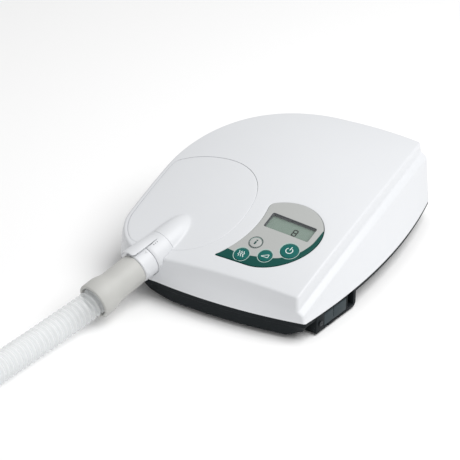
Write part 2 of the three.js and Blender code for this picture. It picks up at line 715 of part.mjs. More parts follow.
function farCuff() {
  const path = endPath();
  const at = path.getPoint(1);
  const out = path.getTangent(1).setZ(0).normalize();
  at.addScaledVector(out, 0.4).setZ(2 * HOSE.radius + 0.3 + GAP + HOSE.cuffMouth);
  const side = new THREE.Vector3(0, 0, 1).cross(out);
  const frame = new THREE.Matrix4().makeBasis(side, out.clone().cross(side), out).setPosition(at);
  const length = HOSE.cuffTo - HOSE.cuffFrom;
  const profile = cuffProfile(-length, 0).map(([r, s]) => [r, -s]).reverse();
  return turned(profile).applyMatrix4(frame);
}

// ---------------------------------------------------------------- blower and air ways
function blowerHousing() {
  const b = BLOWER;
  const cup = post(b.x, b.y, b.bottom, b.top - 3.3, b.radius, b.radius, 28);
  const chamber = post(b.x, b.y, 24, b.top, b.radius - 2.5, b.radius - 2.5, 28);
  const well = post(b.x, b.y, b.bottom + 2, 26, 17.8, 17.8, 24);
  const nozzle = new THREE.CylinderGeometry(12, 12, 36, 16).translate(b.x + 22, b.y - 33, 33);
  const throat = new THREE.CylinderGeometry(9.5, 9.5, 50, 16).translate(b.x + 22, b.y - 32, 33);
  const roofCut = box(b.x - 50, b.x + 50, b.y - 36.5, b.y + 50, b.top - 3.3, b.top + 20);
  return cut(join(cup, nozzle), chamber, well, throat, roofCut);
}

function blowerCover() {
  const b = BLOWER;
  const plate = post(b.x, b.y, b.top - 3, b.top - 0.5, b.radius, b.radius, 28);
  const collar = post(b.x, b.y, b.top - 1, b.top + 5, 14, 14, 24);
  const nozzleRoom = new THREE.CylinderGeometry(12.4, 12.4, 40, 16).translate(b.x + 22, b.y - 37, 33);
  return cut(join(plate, collar), post(b.x, b.y, 30, 60, 11.5, 11.5, 24), nozzleRoom);
}

function motor() {
  const b = BLOWER;
  const can = post(b.x, b.y, b.bottom + 2.3, 23.5, 17.3, 17.3, 24);
  const lower = post(b.x, b.y, b.bottom + 2, b.bottom + 6, 4.8, 4.8, 24);
  return cut(can, post(b.x, b.y, 0, 30, 3.2, 3.2, 20), lower, post(b.x, b.y, 20, 25, 4.8, 4.8, 24));
}

function bearing(z0, z1) {
  const { x, y } = BLOWER;
  return cut(post(x, y, z0, z1, 4.5, 4.5, 24), post(x, y, z0 - 1, z1 + 1, 1.9, 1.9, 16));
}

function impeller() {
  const { x, y } = BLOWER;
  const hub = post(x, y, 25, 35, 5, 5, 24);
  const disc = post(x, y, 26, 27.6, 29, 29, 28);
  const blades = Array.from({ length: 9 }, (_, i) => {
    const blade = box(6, 28.5, -0.7, 0.7, 27, 36);
    return blade.rotateZ(0.5).translate(-3, -7, 0).rotateZ((2 * Math.PI * i) / 9).translate(x, y, 0);
  });
  return cut(join(hub, disc, ...blades), post(x, y, 20, 40, 1.5, 1.5, 16));
}

// The duct stays low under the cover's nose, so it meets the outlet level rather than on its axis.
const outletDuctPath = new THREE.CubicBezierCurve3(
  new THREE.Vector3(BLOWER.x + 22, BLOWER.y - 51.5, 33),
  new THREE.Vector3(BLOWER.x + 22, BLOWER.y - 74, 33),
  outletPoint(DUCT_END).addScaledVector(new THREE.Vector3(0.3, 0.95, 0), 25),
  outletPoint(DUCT_END),
);

const intakePath = new THREE.CatmullRomCurve3([
  new THREE.Vector3(-48.8, 66, 20),
  new THREE.Vector3(-56, 66.3, 20.4),
  new THREE.Vector3(-68, 84, 32),
  new THREE.Vector3(-82, 108, 48),
  new THREE.Vector3(-102, 134, 58),
  new THREE.Vector3(-118, 147, 60),
  new THREE.Vector3(BLOWER.x, BLOWER.y, 57),
  new THREE.Vector3(BLOWER.x, BLOWER.y, 48.6),
]);

function silencerBox() {
  const body = box(-48, -24, 24, 90, 6, 31);
  const inside = box(-46, -26, 26, 88, 8, 32);
  const intake = box(-30, -10, 38.5, 49.5, 9, 15);
  const exit = new THREE.CylinderGeometry(8.5, 8.5, 6, 20).rotateZ(Math.PI / 2).translate(-47, 66, 20);
  return cut(body, inside, intake, exit);
}

// ---------------------------------------------------------------- electronics
function mainBoard() {
  const holes = BOARD_POSTS.map(([x, y]) => post(x, y, 5, 20, 1.6, 1.6, 12));
  return cut(box(-84, -24, 100, 218, BOARD_Z, BOARD_Z + 1.6), ...holes);
}

function powerSupply() {
  const can = box(-66, -22, 128, 196, BOARD_Z + 2, BOARD_Z + 28);
  const slots = Array.from({ length: 6 }, (_, i) => {
    const y = 136 + i * 9;
    return box(-60, -28, y, y + 3, BOARD_Z + 26, BOARD_Z + 30);
  });
  return cut(can, ...slots);
}

function displayBoard() {
  return box(-38, 38, -34, 34, -12.6, -11).applyMatrix4(boardFrame);
}

function keypadMat() {
  return box(-24, 36, -31, 3, -9.6, -8.4).applyMatrix4(boardFrame);
}

// ---------------------------------------------------------------- assembly
add("upper_shell", upperShell(), white());
add("side_cover", sideCover(), white());
add("base_tray", baseTray(), charcoal());
add("control_panel", controlPanel(), silverGrey());
add("display_window", windowBlock(0, -1.6, -0.5), clearPlastic());
add("lcd_module", windowBlock(0.6, -6.4, -3.2), paint(0x8a988c, 0.3));
add("display_board", displayBoard(), board());
add("keypad_mat", keypadMat(), rubber());
for (const b of BUTTONS) {
  const cap = post(0, 0, -4, 1.1, b.radius, b.radius, 28).applyMatrix4(roofFrame(b.x, b.y));
  add("button_" + b.name, cap, b.name === "info" ? silverGrey() : teal());
}

add("filter_compartment", compartment(), charcoal());
add("filter_door", filterDoor(), charcoal());
add("door_pin", inBay(faceBar(DOOR.from - 3.5, DOOR.to + 3.5, HINGE.x, HINGE.z, HINGE.radius)), steel());
add("filter_coarse", filterPad(-6, -3), foam());
add("filter_fine", filterPad(-10, -6.3), paint(0xf2f2ee, 0.95));
add("compartment_screw", compartmentScrew(), steel());

add("outlet_collar", outletCollar(), white());
add("release_lever", releaseLever(), white());
add("lever_pin", leverBar(20, 0.7, 12).applyMatrix4(outletFrame), steel());
add("outlet_connector", outletConnector(), white());
add("seal_ring", sealRing(), blackRubber());

add("blower_housing", blowerHousing(), paint(0xd8dade, 0.5));
add("blower_cover", blowerCover(), paint(0xd8dade, 0.5));
add("blower_motor", motor(), steel());
add("bearing_lower", bearing(BLOWER.bottom + 2.4, BLOWER.bottom + 5.7), steel());
add("bearing_upper", bearing(20.3, 23.2), steel());
add("impeller", impeller(), paint(0xe6e6e2, 0.4));
add("motor_shaft", post(BLOWER.x, BLOWER.y, 8.5, 36.5, 1.35, 1.35, 16), steel());
add("outlet_duct", pipe(outletDuctPath, 11.8, 9.5, 8, 12), blackRubber());
add("intake_duct", pipe(intakePath, 9.5, 8, 10, 10), blackRubber());
add("silencer_box", silencerBox(), charcoal());
add("silencer_foam", box(-45.6, -26.4, 26.4, 54, 8.3, 30), foam());

add("main_board", mainBoard(), board());
add("power_supply", powerSupply(), steel());
add("pressure_sensor", box(-82, -72, 150, 162, BOARD_Z + 1.9, BOARD_Z + 9), paint(0x222222, 0.5));
add("buzzer", post(-74, 128, BOARD_Z + 1.9, BOARD_Z + 8, 6, 6, 24), paint(0x1a1a1a, 0.5));
add("mains_inlet", mainsInlet(), paint(0x1d1f20, 0.5));
add("service_port", servicePort(), paint(0x1d1f20, 0.5));
add("rating_plate", box(-125, -65, 96, 136, BASE_Z - 0.8, BASE_Z - GAP), paint(0xc9ccce, 0.4));
FEET.forEach(([x, y], i) => add("foot_" + (i + 1), post(x, y, 0, BASE_Z + 1 - GAP, 8, 8, 24), blackRubber()));
SHELL_BOSSES.forEach(([x, y], i) => add("case_screw_" + (i + 1), screw(x, y), steel()));

add("hose_cuff", turned(cuffProfile(HOSE.cuffFrom, HOSE.cuffTo)).applyMatrix4(outletFrame), rubber(), hose);
const runCurve = new THREE.CatmullRomCurve3(ROUTE);
add("hose_run", cut(rod(runCurve, HOSE.radius, 10, 12), coilRing(GAP)), clearPlastic(), hose);
add("hose_coil", coilRing(0), clearPlastic(), hose);
add("hose_end", rod(endPath(), HOSE.radius, 20, 12), clearPlastic(), hose);
add("hose_cuff_far", farCuff(), rubber(), hose);

// The device stands centred over the origin, with its hose before it.
const spread = new THREE.Box3().setFromObject(device);
const centre = spread.getCenter(new THREE.Vector3());
const ventilator = new THREE.Group();
ventilator.add(device, hose);
ventilator.position.set(-centre.x, -centre.y, -spread.min.z);

export default ventilator;
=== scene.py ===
import math

import bmesh
import bpy
import numpy as np
from mathutils import Matrix, Vector
from mathutils.geometry import delaunay_2d_cdt

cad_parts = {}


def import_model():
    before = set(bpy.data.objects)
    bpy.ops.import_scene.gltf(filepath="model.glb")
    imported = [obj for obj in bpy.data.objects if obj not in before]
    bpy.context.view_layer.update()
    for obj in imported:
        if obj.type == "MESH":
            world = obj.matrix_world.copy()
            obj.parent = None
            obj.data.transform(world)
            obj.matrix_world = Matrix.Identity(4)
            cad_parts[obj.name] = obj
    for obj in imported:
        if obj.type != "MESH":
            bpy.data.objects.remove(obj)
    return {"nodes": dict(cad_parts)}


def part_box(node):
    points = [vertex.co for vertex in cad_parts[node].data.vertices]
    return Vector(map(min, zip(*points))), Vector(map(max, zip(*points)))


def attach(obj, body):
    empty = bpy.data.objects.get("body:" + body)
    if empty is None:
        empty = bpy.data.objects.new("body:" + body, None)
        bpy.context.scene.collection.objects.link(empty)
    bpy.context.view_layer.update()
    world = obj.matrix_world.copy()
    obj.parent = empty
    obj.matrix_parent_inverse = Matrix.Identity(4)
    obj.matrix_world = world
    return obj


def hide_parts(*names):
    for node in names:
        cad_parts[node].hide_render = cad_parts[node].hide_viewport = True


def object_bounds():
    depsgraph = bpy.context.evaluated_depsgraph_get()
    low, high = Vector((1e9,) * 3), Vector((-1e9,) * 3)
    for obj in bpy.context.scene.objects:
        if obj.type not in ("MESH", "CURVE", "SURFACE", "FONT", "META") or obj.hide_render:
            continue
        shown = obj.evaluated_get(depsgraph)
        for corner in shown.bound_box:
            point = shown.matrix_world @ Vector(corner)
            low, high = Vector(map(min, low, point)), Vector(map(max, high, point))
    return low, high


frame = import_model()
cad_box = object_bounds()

# ---- sizes
FOOT_1 = (-150, 36)  # where the foot foot_1 stands; SHIFT below ties the case frame to it
SHELL_Z = 19.0  # height of the white shell's lower edge
BASE_Z = 3.0  # and of the dark base's underside
# the roof: its height at the back, its drop towards the front, its crown, and the case's depth
SIDE_TOP, SIDE_DROP, CROWN, DEPTH = 75.0, 34.0, 9.3, 237.0
MIDDLE_X, HALF_WIDTH = -94.0, 95.0
# the shell's plan outline at its rim and at its lower edge: its sides, their bulges, and the radii of
# its corners, which are elliptical on the left
RIM = dict(left=-193, right=-8, right_back=-1, front=3, back=241, corner_back=240.5,
           front_bulge=2.5, side_bulge=4.5, back_bulge=1.5,
           front_right=2.8, back_right=4, back_left=(118, 125), front_left=(42, 42))
EDGE = dict(left=-202, right=1.5, right_back=10.5, front=-1, back=246, corner_back=240.5,
            front_bulge=-5.5, side_bulge=12, back_bulge=1.5,
            front_right=3, back_right=5, back_left=(122, 129), front_left=(60, 58))
# the ledge along the right side: its edges' distances out from the rim, the inner one's depth below the
# roof and rise to the back, the outer one's drop below that, in front and what the back adds, and the
# height over which the wall above it leans
LEDGE = dict(inner=1.2, outer=7, depth=12.5, rise=3.7, slope=3.2, more_slope=1.2, riser=10)
LEDGE_FADE = 45  # length over which it fades away on the front and the back
FLARE, FLARE_LEFT = 1.35, 0.6  # how late the plain walls flare out downwards, and those on the left
SHELL_WALL, COVER_WALL, BASE_WALL = 2.2, 2.0, 2.0
OUTLET_AT = np.array([-148.0, 19.0, 40.0])
OUTLET_OUT = np.array([-0.28, -0.93, -0.235])
# the side cover is a superellipse, squarer towards the outlet and cut off on the left
COVER = dict(x=-150, y=72, radius=59.5, power=2.25, outlet_power=3.4, left=-190)
PANEL = dict(x=-57, y=58.5, long=42, short=35, tilt=45, hollow=74.5, tip=(-97, 21))
WINDOW = dict(x=-48.5, y=69.3, length=42.5, width=17, turn=-4)
# the keys: where each stands in plan, and its radius
BUTTONS = dict(info=(-68, 43, 5.3), heater=(-74, 28, 6.4), ramp=(-54, 33, 6.0), power=(-37, 45, 7.9))
HOSE_RADIUS = 12.5
CUFF_FROM, CUFF_TO, CUFF_RADIUS, CUFF_MOUTH = 31.3, 81.0, 13.9, 16.3
COIL = dict(x=-120.3, y=-453.9, radius=125, entry=169.3)

low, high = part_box("foot_1")
SHIFT = np.array([(low.x + high.x) * 500 - FOOT_1[0], (low.y + high.y) * 500 - FOOT_1[1], 0.0])


def world(points):
    """Points of the case frame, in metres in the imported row's frame."""
    return (np.asarray(points, float) + SHIFT) / 1000


def unit(v):
    v = np.asarray(v, float)
    return v / np.linalg.norm(v)


# ---- camera, floor and light
CAMERA_AT = (594.5, -1249.8, 940.8)
CAMERA_RIGHT = (0.8829, 0.4695, 0.0)
CAMERA_UP = (-0.2418, 0.4547, 0.8572)
CAMERA_BACK = (0.4024, -0.7568, 0.5150)
LENS = 156.5
FLOOR_REACH = 9000
ROOM_STRENGTH = 0.575
LAMP_AT, LAMP_SIZE, LAMP_POWER = Vector((0.78, 0.1, 1.36)), 1.2, 19.3  # metres and watts
LAMP_AIM = Vector((0, 0, 0.03))


def make_camera():
    data = bpy.data.cameras.new("camera")
    data.lens = LENS
    data.sensor_width = 36
    data.clip_end = 20
    camera = bpy.data.objects.new("camera", data)
    bpy.context.scene.collection.objects.link(camera)
    columns = zip(CAMERA_RIGHT, CAMERA_UP, CAMERA_BACK, world(CAMERA_AT))
    camera.matrix_world = Matrix([*columns, (0, 0, 0, 1)])
    bpy.context.scene.camera = camera


def make_stage():
    floor = Form()
    r = FLOOR_REACH
    floor.add([[-r, -r, 0], [r, -r, 0], [r, r, 0], [-r, r, 0]], [[0, 1, 2, 3]])
    paper = bpy.data.materials.new("paper")
    paper.use_nodes = True
    shader = paper.node_tree.nodes["Principled BSDF"]
    shader.inputs["Base Color"].default_value = (0.96, 0.96, 0.96, 1)
    shader.inputs["Roughness"].default_value = 0.9
    floor.build("floor", paper, body=None)
    room = bpy.data.worlds.new("room")
    room.use_nodes = True
    glow = room.node_tree.nodes["Background"]
    glow.inputs["Color"].default_value = (1, 1, 1, 1)
    glow.inputs["Strength"].default_value = ROOM_STRENGTH
    bpy.context.scene.world = room
    light = bpy.data.lights.new("key", "AREA")
    light.size = LAMP_SIZE
    light.energy = LAMP_POWER
    lamp = bpy.data.objects.new("key", light)
    lamp.location = LAMP_AT
    lamp.rotation_mode = "QUATERNION"
    lamp.rotation_quaternion = (LAMP_AT - LAMP_AIM).to_track_quat("Z", "Y")
    bpy.context.scene.collection.objects.link(lamp)
    bpy.context.scene.view_settings.view_transform = "Standard"


# ---- making meshes
class Form:
    """Points in the case frame and the faces between them, which become one piece."""

    def __init__(self):
        self.points, self.faces, self.marks, self.count = [], [], [], 0

    def add(self, points, faces, mark=0):
        self.points.append(np.asarray(points, float))
        self.faces += [[i + self.count for i in f] for f in faces]
        self.marks += [mark] * len(faces)
        self.count += len(points)

    def loft(self, rings, mark=0, caps=()):
        """Faces between rings of equal length; caps names the ends to close: 0 and -1."""
        rings = [np.asarray(r, float) for r in rings]
        n = len(rings[0])
        faces = []
        for k in range(len(rings) - 1):
            for i in range(n):
                j = (i + 1) % n
                faces.append([k * n + i, k * n + j, (k + 1) * n + j, (k + 1) * n + i])
        points = np.vstack(rings)
        for cap in caps:
            base = 0 if cap == 0 else (len(rings) - 1) * n
            points = np.vstack([points, rings[cap].mean(0)])
            middle = len(points) - 1
            faces += [[base + i, base + (i + 1) % n, middle] for i in range(n)]
        self.add(points, faces, mark)

    def build(self, name, materials, replaces=(), slot=None, body="case", angle=38, modify=None):
        """The finished piece; a face's mark is the number of its material."""
        mesh = bpy.data.meshes.new(name)
        mesh.from_pydata(world(np.vstack(self.points)).tolist(), [], self.faces)
        for m in materials if isinstance(materials, (list, tuple)) else [materials]:
            mesh.materials.append(m)
        mesh.polygons.foreach_set("material_index", self.marks)
        tidy(mesh)
        return finished(name, mesh, replaces, body, angle, modify)


def tidy(mesh):
    """Merges points that coincide, drops faces without area and turns all faces outwards."""
    work = bmesh.new()
    work.from_mesh(mesh)
    bmesh.ops.remove_doubles(work, verts=work.verts, dist=2e-6)
    bmesh.ops.dissolve_degenerate(work, edges=work.edges, dist=1e-7)
    bmesh.ops.recalc_face_normals(work, faces=work.faces)
    work.to_mesh(mesh)
    work.free()


def finished(name, mesh, replaces=(), body="case", angle=38, modify=None):
    """An object of that mesh, its modifiers applied, riding on its body. Edges sharper than angle stay
    sharp. The floor rides on no body."""
    made = bpy.data.objects.new(name, mesh)
    bpy.context.scene.collection.objects.link(made)
    if modify:
        modify(made)
        graph = bpy.context.evaluated_depsgraph_get()
        done = bpy.data.meshes.new_from_object(made.evaluated_get(graph))
        made.modifiers.clear()
        made.data = done
    made.data.shade_smooth()
    made.data.set_sharp_from_angle(angle=math.radians(angle))
    if body is None:
        return made
    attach(made, body)
    if replaces:
        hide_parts(*replaces)
    return made


def bezier(a, c, b, steps):
    """Points from a to b that round off the corner c; each may be an array of points."""
    t = np.linspace(0, 1, steps).reshape((-1,) + (1,) * np.ndim(a))
    return (1 - t) ** 2 * a + 2 * t * (1 - t) * c + t * t * b


def rounded(corners, radii, steps):
    """A polyline whose inner corners are rounded off; each corner may be a ring of points."""
    rings = [corners[0]]
    for k in range(1, len(corners) - 1):
        corner = corners[k]
        ends = []
        for other in (corners[k - 1], corners[k + 1]):
            way = other - corner
            length = np.linalg.norm(way, axis=-1, keepdims=True)
            ends.append(corner + way * np.minimum(radii[k] / length, 0.48))
        rings += list(bezier(ends[0], corner, ends[1], steps))
    return rings + [corners[-1]]


def offset(loop, distance):
    """A closed counter-clockwise outline, moved out square to itself."""
    along = np.roll(loop, -1, 0) - np.roll(loop, 1, 0)
    along /= np.linalg.norm(along, axis=1, keepdims=True)
    return loop + np.stack([along[:, 1], -along[:, 0]], 1) * np.reshape(distance, (-1, 1))


def inside(points, loop):
    """Which plan points lie inside a closed outline."""
    x, y = points[:, :1], points[:, 1:2]
    a, b = loop, np.roll(loop, -1, 0)
    spans = (a[:, 1] > y) != (b[:, 1] > y)
    rise = np.where(b[:, 1] == a[:, 1], 1, b[:, 1] - a[:, 1])
    left = x < a[:, 0] + (y - a[:, 1]) / rise * (b[:, 0] - a[:, 0])
    return (spans & left).sum(1) % 2 == 1


def evened(loop, count, passes):
    """A closed outline resampled to count even steps, its corners softened a little by each pass."""
    dense = np.vstack([loop, loop[:1]])
    along = np.hstack([0, np.cumsum(np.linalg.norm(np.diff(dense, axis=0), axis=1))])
    even = np.linspace(0, along[-1], count, endpoint=False)
    loop = np.stack([np.interp(even, along, dense[:, k]) for k in range(2)], 1)
    for _ in range(passes):
        loop = loop * 0.5 + (np.roll(loop, 1, 0) + np.roll(loop, -1, 0)) * 0.25
    return loop


ROW_HEIGHT = 0.87  # of a grid of near-equal triangles, as a share of its spacing
CLEARANCE = 0.55  # how near a grid point may be to an edge, as a share of the spacing


def patch(outer, holes, spacing, lines=(), cuts=(), fine=None):
    """Plan points and triangles that fill outer but not its holes; lines are loops, and cuts open
    lines, to keep as edges. fine is (centre, radius, spacing) for a closer grid round one place."""
    loops = [outer, *holes, *lines]
    fixed = np.vstack([*loops, *cuts])
    edges, start = [], 0
    for loop in [*loops, *cuts]:
        n = len(loop)
        open_line = any(loop is c for c in cuts)
        edges += [(start + i, start + (i + 1) % n) for i in range(n - open_line)]
        start += n

    def grid(step):
        low, high = outer.min(0), outer.max(0)
        xs, ys = np.arange(low[0], high[0], step), np.arange(low[1], high[1], step * ROW_HEIGHT)
        made = np.array([[x + (j % 2) * step / 2, y] for j, y in enumerate(ys) for x in xs])
        return made, np.full(len(made), step)

    spots, steps = grid(spacing)
    if fine is not None:
        centre, radius, step = fine
        far = np.linalg.norm(spots - centre, axis=1) > radius
        more, small = grid(step)
        near = np.linalg.norm(more - centre, axis=1) <= radius
        spots, steps = np.vstack([spots[far], more[near]]), np.hstack([steps[far], small[near]])
    clear = inside(spots, outer)
    for hole in holes:
        clear &= ~inside(spots, hole)
    spots, steps = spots[clear], steps[clear]
    gap = np.array([np.min(np.linalg.norm(fixed - p, axis=1)) for p in spots])
    spots = spots[gap > steps * CLEARANCE]
    source = [Vector(p) for p in np.vstack([fixed, spots])]
    made, _, faces, *_ = delaunay_2d_cdt(source, edges, [], 0, 1e-5)
    made = np.array([[p.x, p.y] for p in made])
    middles = np.array([made[f].mean(0) for f in faces])
    keep = inside(middles, outer)
    for hole in holes:
        keep &= ~inside(middles, hole)
    return made, [f for f, k in zip(faces, keep) if k], middles[keep]


def raised(plan, height):
    """Plan points lifted onto the surface that height gives."""
    return np.column_stack([plan, height(plan[:, 0], plan[:, 1])])


# ---- materials
DRIFT_SCALE, GLOSS_RANGE, RELIEF_DEPTH = 45, 0.06, 0.0002


def material(name, colour, roughness=0.45, vary=0.02, grain=1400, bump=0.05, **sockets):
    """Moulded stuff: its colour drifts a little, and a fine grain moves its gloss and its surface."""
    made = bpy.data.materials.new(name)
    made.use_nodes = True
    nodes, links = made.node_tree.nodes, made.node_tree.links
    shader = nodes["Principled BSDF"]
    place = nodes.new("ShaderNodeTexCoord")

    def noise(scale, detail):
        node = nodes.new("ShaderNodeTexNoise")
        node.inputs["Scale"].default_value = scale
        node.inputs["Detail"].default_value = detail
        links.new(place.outputs["Object"], node.inputs["Vector"])
        return node.outputs["Fac"]

    drift = nodes.new("ShaderNodeMix")
    drift.data_type = "RGBA"
    drift.inputs["A"].default_value = (*[c * (1 - vary) for c in colour[:3]], 1)
    drift.inputs["B"].default_value = (*[min(1, c * (1 + vary)) for c in colour[:3]], 1)
    links.new(noise(DRIFT_SCALE, 3), drift.inputs["Factor"])
    links.new(drift.outputs["Result"], shader.inputs["Base Color"])
    fine = noise(grain, 4)
    gloss = nodes.new("ShaderNodeMapRange")
    gloss.inputs["To Min"].default_value = max(0.02, roughness - GLOSS_RANGE)
    gloss.inputs["To Max"].default_value = min(1, roughness + GLOSS_RANGE)
    links.new(fine, gloss.inputs["Value"])
    links.new(gloss.outputs["Result"], shader.inputs["Roughness"])
    relief = nodes.new("ShaderNodeBump")
    relief.inputs["Strength"].default_value = bump
    relief.inputs["Distance"].default_value = RELIEF_DEPTH
    links.new(fine, relief.inputs["Height"])
    links.new(relief.outputs["Normal"], shader.inputs["Normal"])
    for socket, value in sockets.items():
        shader.inputs[socket.replace("_", " ")].default_value = value
    return made


WHITE = material("white housing", (0.685, 0.697, 0.717), 0.42, 0.008)
CHARCOAL = material("charcoal", (0.010, 0.013, 0.015), 0.55, 0.08, bump=0.12, Specular_IOR_Level=0.12)
DOOR_GREY = material("door charcoal", (0.030, 0.043, 0.049), 0.5, 0.06, bump=0.12, Specular_IOR_Level=0.2)
DARK_STEEL = material("blackened steel", (0.05, 0.055, 0.06), 0.4, 0.08, Metallic=1.0)
SILVER = material("panel silver", (0.42, 0.43, 0.42), 0.42, 0.02, grain=2600)
BAND = material("panel green", (0.003, 0.066, 0.055), 0.42, 0.03, grain=2600, Specular_IOR_Level=0.2)
TEAL = material("button teal", (0.006, 0.115, 0.102), 0.4, 0.03, grain=2600, Specular_IOR_Level=0.2)
# the rings round the keys and the walls of their holes: the surround's own grey, painted lighter and
# greener as the highlight of a raised rim
MINT_HIGHLIGHT = material("key ring painted highlight", (0.40, 0.55, 0.51), 0.42, 0.02, grain=2600)
MARK = material("printed mark", (0.66, 0.74, 0.72), 0.45, 0.02)
RING_GREY = material("key surround", (0.10, 0.12, 0.12), 0.45, 0.03)
INK = material("printed ink", (0.004, 0.055, 0.05), 0.45, 0.03, Specular_IOR_Level=0.2)
# the walls of the display window's recess: painted dark as the shade that falls inside the recess
RECESS_SHADE = material("window recess painted shade", (0.11, 0.115, 0.125), 0.5, 0.03)
SCREEN = material("display glass grey", (0.185, 0.247, 0.21), 0.3, 0.015, grain=3000)
SEGMENT = material("display segment", (0.012, 0.015, 0.014), 0.5, 0.03, Specular_IOR_Level=0.1)
CLEAR = material("clear window", (0.97, 0.99, 0.98), 0.08, 0.01, bump=0.0, Alpha=0.02)
CUFF = material("grey silicone", (0.50, 0.50, 0.48), 0.5, 0.03, bump=0.08)
HOSE = material("clear hose", (0.86, 0.88, 0.89), 0.16, 0.02, bump=0.02, Alpha=0.42)
STEEL = material("plated steel", (0.62, 0.63, 0.64), 0.3, 0.05, Metallic=1.0)
RUBBER = material("black rubber", (0.018, 0.018, 0.019), 0.8, 0.1, bump=0.2)
FOAM = material("dark foam", (0.055, 0.06, 0.065), 0.95, 0.25, grain=1100, bump=0.8)
FELT = material("white felt", (0.82, 0.82, 0.8), 0.95, 0.04, grain=900, bump=0.5)
BOARD = material("solder resist", (0.02, 0.13, 0.06), 0.4, 0.12, grain=700)
INNER = material("inner plastic", (0.62, 0.63, 0.64), 0.5, 0.03)
BLACK = material("black plastic", (0.016, 0.016, 0.018), 0.42, 0.08)
PLATE = material("rating film", (0.55, 0.56, 0.57), 0.35, 0.03)

# the CAD nodes that keep their own shape
CAD_LOOKS = {
    CHARCOAL: "silencer_box",
    BOARD: "display_board main_board",
    CUFF: "keypad_mat",
    DARK_STEEL: "door_pin",
    STEEL: "blower_motor bearing_lower bearing_upper motor_shaft power_supply"
           " case_screw_1 case_screw_2 case_screw_3 case_screw_4",
    FOAM: "filter_coarse silencer_foam",
    FELT: "filter_fine",
    RUBBER: "seal_ring outlet_duct intake_duct foot_1 foot_2 foot_3 foot_4",
    INNER: "blower_housing blower_cover impeller",
    BLACK: "pressure_sensor buzzer",
    PLATE: "rating_plate",
}
for look, names in CAD_LOOKS.items():
    for name in names.split():
        mesh = frame["nodes"][name].data
        mesh.materials.clear()
        mesh.materials.append(look)

make_camera()
make_stage()


# ---- the outlet's axis
OUT = unit(OUTLET_OUT)
SIDE = unit(np.cross([0, 0, 1], OUT))
ABOVE = np.cross(OUT, SIDE)


def outlet_point(s):
    return OUTLET_AT + OUT * s


def outlet_ray(angle):
    """Two directions square to the outlet's axis: away from it at an angle in degrees, counted from SIDE
    towards ABOVE, and onwards round it."""
    a = math.radians(angle)
    return SIDE * math.cos(a) + ABOVE * math.sin(a), ABOVE * math.cos(a) - SIDE * math.sin(a)


def turned(profile, start, out, sides):
    """Rings of a turned form: (radius, distance) pairs about an axis from start towards out."""
    side = unit(np.cross([0, 0, 1], out)) if abs(out[2]) < 0.999 else np.array([1.0, 0, 0])
    above = np.cross(out, side)
    a = np.linspace(0, 2 * math.pi, sides, endpoint=False)
    circle = np.outer(np.cos(a), side) + np.outer(np.sin(a), above)
    return [start + out * s + circle * r for r, s in profile]


# ---- hose
LIE = HOSE_RADIUS + 0.2  # height of the hose's middle where it lies on the table
TOP = LIE + 25.4  # and where its second turn lies on the first
RISE = (268, 350)  # degrees since the hose reached its coil, over which it climbs onto it
COIL_END = 604  # and where it ends
CUFF_LIFT = 3.8  # the far cuff is thicker than the tube, so the hose's end lies this much higher
LIFT_OVER = 50  # degrees over which it rises there
INTO_CUFF = 7  # length of tube hidden in a cuff
RIB_PITCH, RIB_DEPTH = 5.4, 1.7


def coil_point(turn, z):
    a = math.radians(COIL["entry"] + turn)
    return np.array([COIL["x"] + COIL["radius"] * math.cos(a), COIL["y"] + COIL["radius"] * math.sin(a), z])


def coil_end():
    """Where the coil ends, on its second turn, and the level direction that the hose ends in."""
    at = coil_point(COIL_END, TOP)
    return at, unit(at - coil_point(COIL_END - 12.7, TOP))


def step(x, a, b):
    """A smooth step from 0 at a to 1 at b."""
    t = np.clip((x - a) / (b - a), 0, 1)
    return t * t * (3 - 2 * t)


def hose_route():
    """The hose's centreline: out of the cuff, down to the table, round its coil, and up over itself
    into a second turn that ends in the far cuff."""
    free = [outlet_point(CUFF_TO - INTO_CUFF), outlet_point(CUFF_TO + 0.4), outlet_point(CUFF_TO + 12),
            (-180.5, -91, 15.2), (-187, -121, 13), (-192, -150, LIE), (-197, -182, LIE), (-203, -219, LIE),
            (-213.7, -275.5, LIE), (-224.4, -332, LIE), (-233.9, -382, LIE)]
    points = [np.array(p, float) for p in free]
    for turn in np.append(np.arange(0, COIL_END - 5, 10), COIL_END):
        lift = (TOP - LIE) * step(turn, *RISE) + CUFF_LIFT * step(turn, COIL_END - LIFT_OVER, COIL_END)
        points.append(coil_point(turn, LIE + lift))
    _, onwards = coil_end()
    return np.array(points + [points[-1] + onwards * INTO_CUFF])


def smooth_path(points, spacing):
    """A Catmull-Rom curve through the points, resampled to even steps."""
    padded = np.vstack([2 * points[0] - points[1], points, 2 * points[-1] - points[-2]])
    dense = []
    t = np.linspace(0, 1, 24, endpoint=False)[:, None]
    for a, b, c, d in zip(padded, padded[1:], padded[2:], padded[3:]):
        dense.append(0.5 * (2 * b + (c - a) * t + (2 * a - 5 * b + 4 * c - d) * t ** 2
                            + (3 * b - a - 3 * c + d) * t ** 3))
    dense = np.vstack([*dense, points[-1:]])
    along = np.hstack([0, np.cumsum(np.linalg.norm(np.diff(dense, axis=0), axis=1))])
    even = np.linspace(0, along[-1], int(round(along[-1] / spacing)) + 1)
    return np.stack([np.interp(even, along, dense[:, k]) for k in range(3)], 1), even


def tube(path, radii, sides):
    """Rings along a path, without twist."""
    way = np.gradient(path, axis=0)
    way /= np.linalg.norm(way, axis=1, keepdims=True)
    normal = unit(np.cross([0, 0, 1], way[0]))
    a = np.linspace(0, 2 * math.pi, sides, endpoint=False)
    rings = []
    for p, w, r in zip(path, way, radii):
        normal = unit(normal - w * np.dot(normal, w))
        other = np.cross(w, normal)
        rings.append(p + r * (np.outer(np.cos(a), normal) + np.outer(np.sin(a), other)))
    return rings


